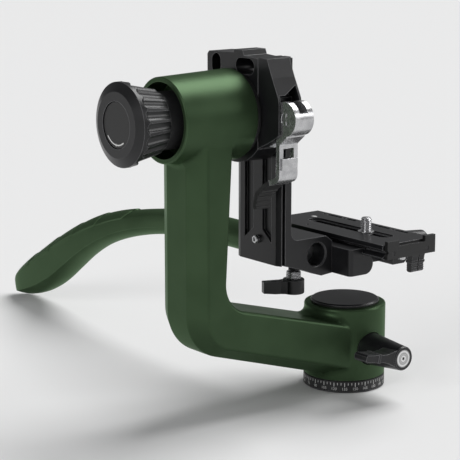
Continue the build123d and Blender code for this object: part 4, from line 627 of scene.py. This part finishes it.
# %% [markdown]
# The scales are worked into the rings. A saw-tooth along the handle lifts each ring at a scale's
# front and lets it fall to nothing at the next. All along, the scales overhang the side facets
# by a small lip, which fades out over the last one.

# %% How high a scale stands
SCALES = (133.0, 165.6, 196.4, 227.6, 260.0, 288.0)    # where each starts, and the last one's end
SCALE_STEP = 0.5                # height of a scale's front edge
SCALE_FRONT = 0.45              # length over which the front edge rises
SCALE_LIP = 0.22
LIP_FADES = (270.0, 290.0)


def ramp(value, start, end):
    """0 up to the start, 1 from the end on, and straight between."""
    return min(max((value - start) / (end - start), 0.0), 1.0)


def scale_rise(run):
    """Height of the scale's surface over the bare grip."""
    lip = SCALE_LIP * ramp(run, SCALES[0] - SCALE_FRONT, SCALES[0]) * (1 - ramp(run, *LIP_FADES))
    for start, end in zip(SCALES, SCALES[1:]):
        if start - SCALE_FRONT <= run < end - SCALE_FRONT:
            front = ramp(run, start - SCALE_FRONT, start)
            return lip + SCALE_STEP * front * (1 - ramp(run, start, end))
    return lip


print(len(SCALES) - 1, "scales, a front edge stands", round(scale_rise(SCALES[1]), 2), "mm high")

# %% [markdown]
# A straight ring would give each scale a straight front. So the rings themselves are bent back
# towards the creases, and the step follows the bowed edge of the real scale and stays crisp.
# Before the first scale and past the last one the rings straighten again.

# %% A point of a ring
SCALE_BOW = 9.0                 # how far the front edge bows back towards the creases
BOW_STARTS = (119.0, 131.0)
BOW_FADES = (262.0, 288.0)
CREASE_LOSS = 0.25              # a scale is that much thinner at the creases
FACET = (0.0, 0.05, 0.16, 0.3, 0.45, 0.6, 0.75, 0.88)     # places of points down a side facet


def ring_point(run, side, part):
    """One point of a ring, lifted by its scale, in the handle's own frame."""
    across = 2 * part - 1 if side == 0 else 1.0
    down = {0: 0.0, 1: part, 2: 1.0, 3: 1 - part}[side]
    hold = ramp(run, *BOW_STARTS) * (1 - ramp(run, *BOW_FADES))
    where = run + SCALE_BOW * hold * across ** 2 * (1 - down) ** 2
    x, y = on_section(where, side, part)
    lift = scale_rise(run) * (1 - CREASE_LOSS * across ** 2) * (1 - ramp(down, 0.0, FACET[1]))
    size = 1 + lift / hypot(x, y)
    return where, x * size, y * size


print("top of the grip, mm:", [round(v, 2) for v in ring_point(204.0, 0, 0.5)])

# %% [markdown]
# So far the handle is straight. The bend is one large arc: up to its start the rod lies along
# the socket, and past its end it runs on straight and down. Each ring is set square to that line.


# %% Bent, and placed in the head
def in_the_head(run, x, y):
    """From the handle's frame to the head's, in metres."""
    angle = -min(max(run - BEND_START, 0.0) / BEND_R, DROOP)
    rest = max(run - BEND_START + BEND_R * angle if angle <= -DROOP else 0.0, 0.0)
    along = min(run, BEND_START) + BEND_R * sin(-angle) + rest * cos(angle)
    height = -BEND_R * (1 - cos(angle)) + rest * sin(angle)
    return ((SOCKET[0] - x) * MM, (ROD_START + along - y * sin(angle)) * MM,
            (SOCKET[1] + height + y * cos(angle)) * MM)


tip_at = in_the_head(SECTIONS[-1][0], 0.0, 0.0)
print("the tip is at, mm:", [round(v / MM, 1) for v in tip_at])

# %% [markdown]
# Rings stand close where the shape is fine: two at each scale's front, seven along its back, and
# more at the round tip. At the socket's end the rod is chamfered and bored for its steel spigot,
# so the tube starts at the bottom of the bore, comes out of it and turns back over the rod.

# %% The handle from ring to ring
ROD_EDGE = 0.4                  # length of the chamfer at the rod's end
ROD_END_SIZE = 0.96             # and how much smaller it leaves the end
TIP_ROUND = 0.7                 # the closing ring lies this far past the last section,
TIP_SIZE = 0.72                 # is smaller by this factor,
TIP_MIDDLE = 2.0                # and shrinks about a point at this height in the section
SHARP = radians(24)             # creases and steps turn by more, curves by less
AROUND = [(0, k / 20) for k in range(20)] + [(1, part) for part in FACET]
AROUND += [(2, k / 18) for k in range(18)] + [(3, 0.0)] + [(3, 1 - part) for part in FACET[:0:-1]]
runs = [ROD_EDGE, 20.0, BEND_START] + [BEND_START + 6 * k for k in range(1, 13)]
for start, end in zip(SCALES, SCALES[1:]):
    runs += [start - SCALE_FRONT, start] + [start + (end - start) * k / 8 for k in range(1, 8)]
runs += [SCALES[-1] - 0.4, 290.0, 292.0, 294.0, 295.5, 297.0, 298.0, SECTIONS[-1][0]]
points = [in_the_head(*ring_point(run, *spot)) for run in runs for spot in AROUND]
round_rod = [ring_point(0.0, *spot)[1:] for spot in AROUND]
rod_end = [(x * ROD_END_SIZE, y * ROD_END_SIZE) for x, y in round_rod]
bore = [(x * BORE_R / hypot(x, y), y * BORE_R / hypot(x, y)) for x, y in round_rod]
for ring, run in ((rod_end, 0.0), (bore, 0.0), (bore, BORE_END)):
    points += [in_the_head(run, x, y) for x, y in ring]
tip = [ring_point(SECTIONS[-1][0], *spot)[1:] for spot in AROUND]
points += [in_the_head(SECTIONS[-1][0] + TIP_ROUND, x * TIP_SIZE,
                       TIP_MIDDLE + (y - TIP_MIDDLE) * TIP_SIZE) for x, y in tip]
rings = len(runs)
order = [rings + 2, rings + 1, rings] + list(range(rings)) + [rings + 3]
handle = make_piece("steering_handle_scaled", points, tube_faces(order, len(AROUND)), "handle",
                    FINISHES["green_paint"])
handle.data.set_sharp_from_angle(angle=SHARP)

# %% [markdown]
# ## The plate's pin, with a painted highlight
# A small oval is let into the top of the lens plate, beyond the camera screw: a flush metal pin,
# whose bright glint is painted on as white. It stands a little crowned: rings of points that rise
# towards the middle, closed underneath. A flat disc would look printed.


# %% Pin in the plate, painted white as a highlight
def crowned_oval(name, at, size_x, size_y, rise, body, finish, around=40):
    """A low oval button on a face that looks up."""
    rings = ((1.0, -0.3 * MM), (1.0, 0.0), (0.93, 0.55 * rise), (0.8, 0.8 * rise), (0.5, rise))
    spots = [(at[0] + size * size_x / 2 * cos(2 * pi * k / around),
              at[1] + size * size_y / 2 * sin(2 * pi * k / around), at[2] + up)
             for size, up in rings for k in range(around)]
    return make_piece(name, spots, tube_faces(range(len(rings)), around), body, finish)


plate_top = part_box("lens_plate")[1].z
# Painted highlight: the pin's glint is given as a white oval.
crowned_oval("plate_pin_painted_highlight", at=(5.9 * MM, 34.6 * MM, plate_top - 0.4 * MM),
             size_x=2.9 * MM, size_y=4.3 * MM, rise=0.35 * MM, body="plate", finish=WHITE_INK)

# %% [markdown]
# ## The graduated ring
# The ring under the arm is printed with a tick every 5 degrees, and a longer tick and a figure
# every 15. Each tick is a thin closed bar that hugs the ring. Drawing them in the material would
# be quicker, but real bars keep their shape in any view and any export.


# %% A bar that hugs a round wall
def hugging_bar(points, faces, angle, width, z0, z1, radius, proud):
    """Add a closed bar to the lists, centred on an angle of the wall."""
    first = len(points)
    half = width / 2 / radius
    for r in (radius - proud, radius + proud):
        for z in (z0, z1):
            for turn in (angle - half, angle + half):
                points.append((r * cos(turn), r * sin(turn), z))
    for corners in ((0, 1, 3, 2), (4, 6, 7, 5), (0, 4, 5, 1), (2, 3, 7, 6), (0, 2, 6, 4),
                    (1, 5, 7, 3)):
        faces.append(tuple(first + c for c in corners))


print("a degree on the ring is", round(radians(1) * BASE_R / MM, 2), "mm long")

# %% [markdown]
# The ticks all hang from one line under the ring's upper edge. They are kept as one mesh, because
# 72 small pieces of their own would only make the list of pieces long.

# %% Ticks of the scale
INK = 0.03 * MM             # how far a print stands proud, and how deep it reaches in
ZERO_AT = radians(94.6)     # where the scale's zero faces, seen from above
TICK_TOP = RING_TOP - 0.8 * MM
LONG_TICK, SHORT_TICK = (3.1, 0.42 * MM), (2.2, 0.34 * MM)   # lower end under the edge, and width
points, faces = [], []
for step in range(72):
    reach, width = SHORT_TICK if step % 3 else LONG_TICK
    hugging_bar(points, faces, ZERO_AT + radians(5 * step), width,
                RING_TOP - reach * MM, TICK_TOP, BASE_R, INK)
make_piece("pan_scale_ticks", points, faces, "base", WHITE_INK, smooth=False)

# %% [markdown]
# Figures start as Blender text, which has a plain face of its own. A text is flat, so its
# points are then wrapped: the distance along the line becomes an angle round the ring, and the
# text's thickness becomes height above the metal.


# %% Text wrapped on the ring
FIGURE_HEIGHT = 1.6 * MM
FIGURE_FOOT = RING_TOP - 5.2 * MM
FIGURE_SHARE = 0.69     # a figure's height as a share of the text's size


def flat_figure(text, height):
    """Closed mesh of a centred text, upright in the XY plane, as points and faces."""
    words = bpy.data.curves.new("figure", type="FONT")
    words.body = text
    words.size = height / FIGURE_SHARE
    words.align_x = "CENTER"
    words.extrude = INK
    words.resolution_u = 3
    holder = bpy.data.objects.new("figure", words)
    mesh = bpy.data.meshes.new_from_object(holder)
    points = [v.co.copy() for v in mesh.vertices]
    faces = [tuple(p.vertices) for p in mesh.polygons]
    bpy.data.objects.remove(holder)
    bpy.data.curves.remove(words)
    bpy.data.meshes.remove(mesh)
    return points, faces


points, faces = [], []
for step in range(24):
    angle = ZERO_AT + radians(15 * step)
    spots, panels = flat_figure(str(15 * step), FIGURE_HEIGHT)
    faces += [tuple(len(points) + c for c in panel) for panel in panels]
    for spot in spots:
        turn = angle + spot.x / BASE_R
        r = BASE_R + spot.z
        points.append((r * cos(turn), r * sin(turn), FIGURE_FOOT + spot.y))
make_piece("pan_scale_figures", points, faces, "base", WHITE_INK, smooth=False, turn_out=False)

# %% [markdown]
# ## The mark on the tilt knob
# The disc on the knob's face carries a printed arc with a dot in its middle, which shows where
# the knob's travel lies. It is a flat band bent along a circle, a few hundredths proud.


# %% Arc and dot on the knob's face
ARC_R = 10.3 * MM
BANDS = ((0.7, -125, -88), (0.7, -82, -36), (1.3, -87.3, -82.7))    # width in mm, start, end
ARC_STEP = 4            # degrees


def face_arc(points, faces, x, radius, width, start, end):
    """Add a closed band to the lists, on a face that looks along -X."""
    steps = max(2, int(abs(end - start) / ARC_STEP))
    first = len(points)
    for k in range(steps + 1):
        turn = radians(start + (end - start) * k / steps)
        for depth in (x - INK, x + INK):
            for r in (radius - width / 2, radius + width / 2):
                points.append((depth, r * cos(turn), TILT_Z + r * sin(turn)))
    for k in range(steps):
        a = first + 4 * k
        for c, d in ((0, 1), (1, 3), (3, 2), (2, 0)):
            faces.append((a + c, a + d, a + 4 + d, a + 4 + c))
    end_row = first + 4 * steps
    faces.append((first, first + 2, first + 3, first + 1))
    faces.append((end_row, end_row + 1, end_row + 3, end_row + 2))


dial_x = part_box("tilt_knob_dial")[0].x
points, faces = [], []
for width, start, end in BANDS:
    face_arc(points, faces, dial_x, ARC_R, width * MM, start, end)
make_piece("tilt_knob_arc", points, faces, "tilt_lock", WHITE_INK, smooth=False)

# %% [markdown]
# ## Floor and light
# A pale floor and plain soft lamps show the colours about as they are written. The floor runs so
# far back that at the camera's angle it is the whole backdrop. It is matt paper, so it keeps the
# head's shadow and doesn't mirror the head.

# %% Pale floor
floor_z = min(0.0, cad_box[0][2])
reach = 15.0            # metres to each side
corners = [(x * reach, y * reach, floor_z) for x, y in ((-1, -1), (1, -1), (1, 1), (-1, 1))]
floor_mesh = bpy.data.meshes.new("floor")
floor_mesh.from_pydata(corners, [], [(0, 1, 2, 3)])
floor = bpy.data.objects.new("floor", floor_mesh)
bpy.context.scene.collection.objects.link(floor)
paper = Finish("pale_paper", Base_Color=(0.80, 0.80, 0.80), Roughness=0.9,
               Specular_IOR_Level=0.1)
floor_mesh.materials.append(paper.material)
print("floor at", round(floor_z / MM, 2), "mm")

# %% [markdown]
# The air is an even, weak fill. The lamps are broad suns, because a near lamp would burn out the
# pale floor in front of it. The main one is high on the plate's side, so that its highlight lies
# along the top of the housing, and two weaker ones open up the knob's side and the front.

# %% World and lamps
MIDDLE = Vector((-0.06, 0.03, 0.09))    # the head's middle, which the lamps look at
AIR_COLOUR = (0.86, 0.87, 0.88, 1)
AIR_STRENGTH = 0.22
world = bpy.data.worlds.new("studio_air")
bpy.context.scene.world = world
world.use_nodes = True
air = world.node_tree
back = air.nodes["Background"]
back.inputs["Color"].default_value = AIR_COLOUR
back.inputs["Strength"].default_value = AIR_STRENGTH


def far_lamp(name, at, strength, spread):
    """A lamp so far away that it falls evenly, from the direction of a place."""
    light = bpy.data.lights.new(name, "SUN")
    light.energy = strength
    light.angle = radians(spread)
    lamp = bpy.data.objects.new(name, light)
    lamp.location = at
    lamp.rotation_euler = (MIDDLE - Vector(at)).to_track_quat("-Z", "Y").to_euler()
    bpy.context.scene.collection.objects.link(lamp)


far_lamp("overhead", at=(0.75, 0.1, 1.3), strength=2.55, spread=38)
far_lamp("knob_side", at=(-1.0, -0.15, 0.45), strength=0.95, spread=28)
far_lamp("plate_side", at=(0.75, -0.55, 0.4), strength=0.7, spread=24)

# %% [markdown]
# Blender can bend the picture's tones as film does. Standard leaves them as they are lit, so a
# finish comes out about as its numbers say.

# %% View settings
bpy.context.scene.view_settings.view_transform = "Standard"
print("view transform:", bpy.context.scene.view_settings.view_transform)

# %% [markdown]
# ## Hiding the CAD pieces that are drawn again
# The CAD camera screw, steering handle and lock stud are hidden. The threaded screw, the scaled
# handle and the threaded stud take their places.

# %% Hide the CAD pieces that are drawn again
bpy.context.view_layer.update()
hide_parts("camera_screw")
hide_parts("steering_handle")
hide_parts("handle_lock_stud")
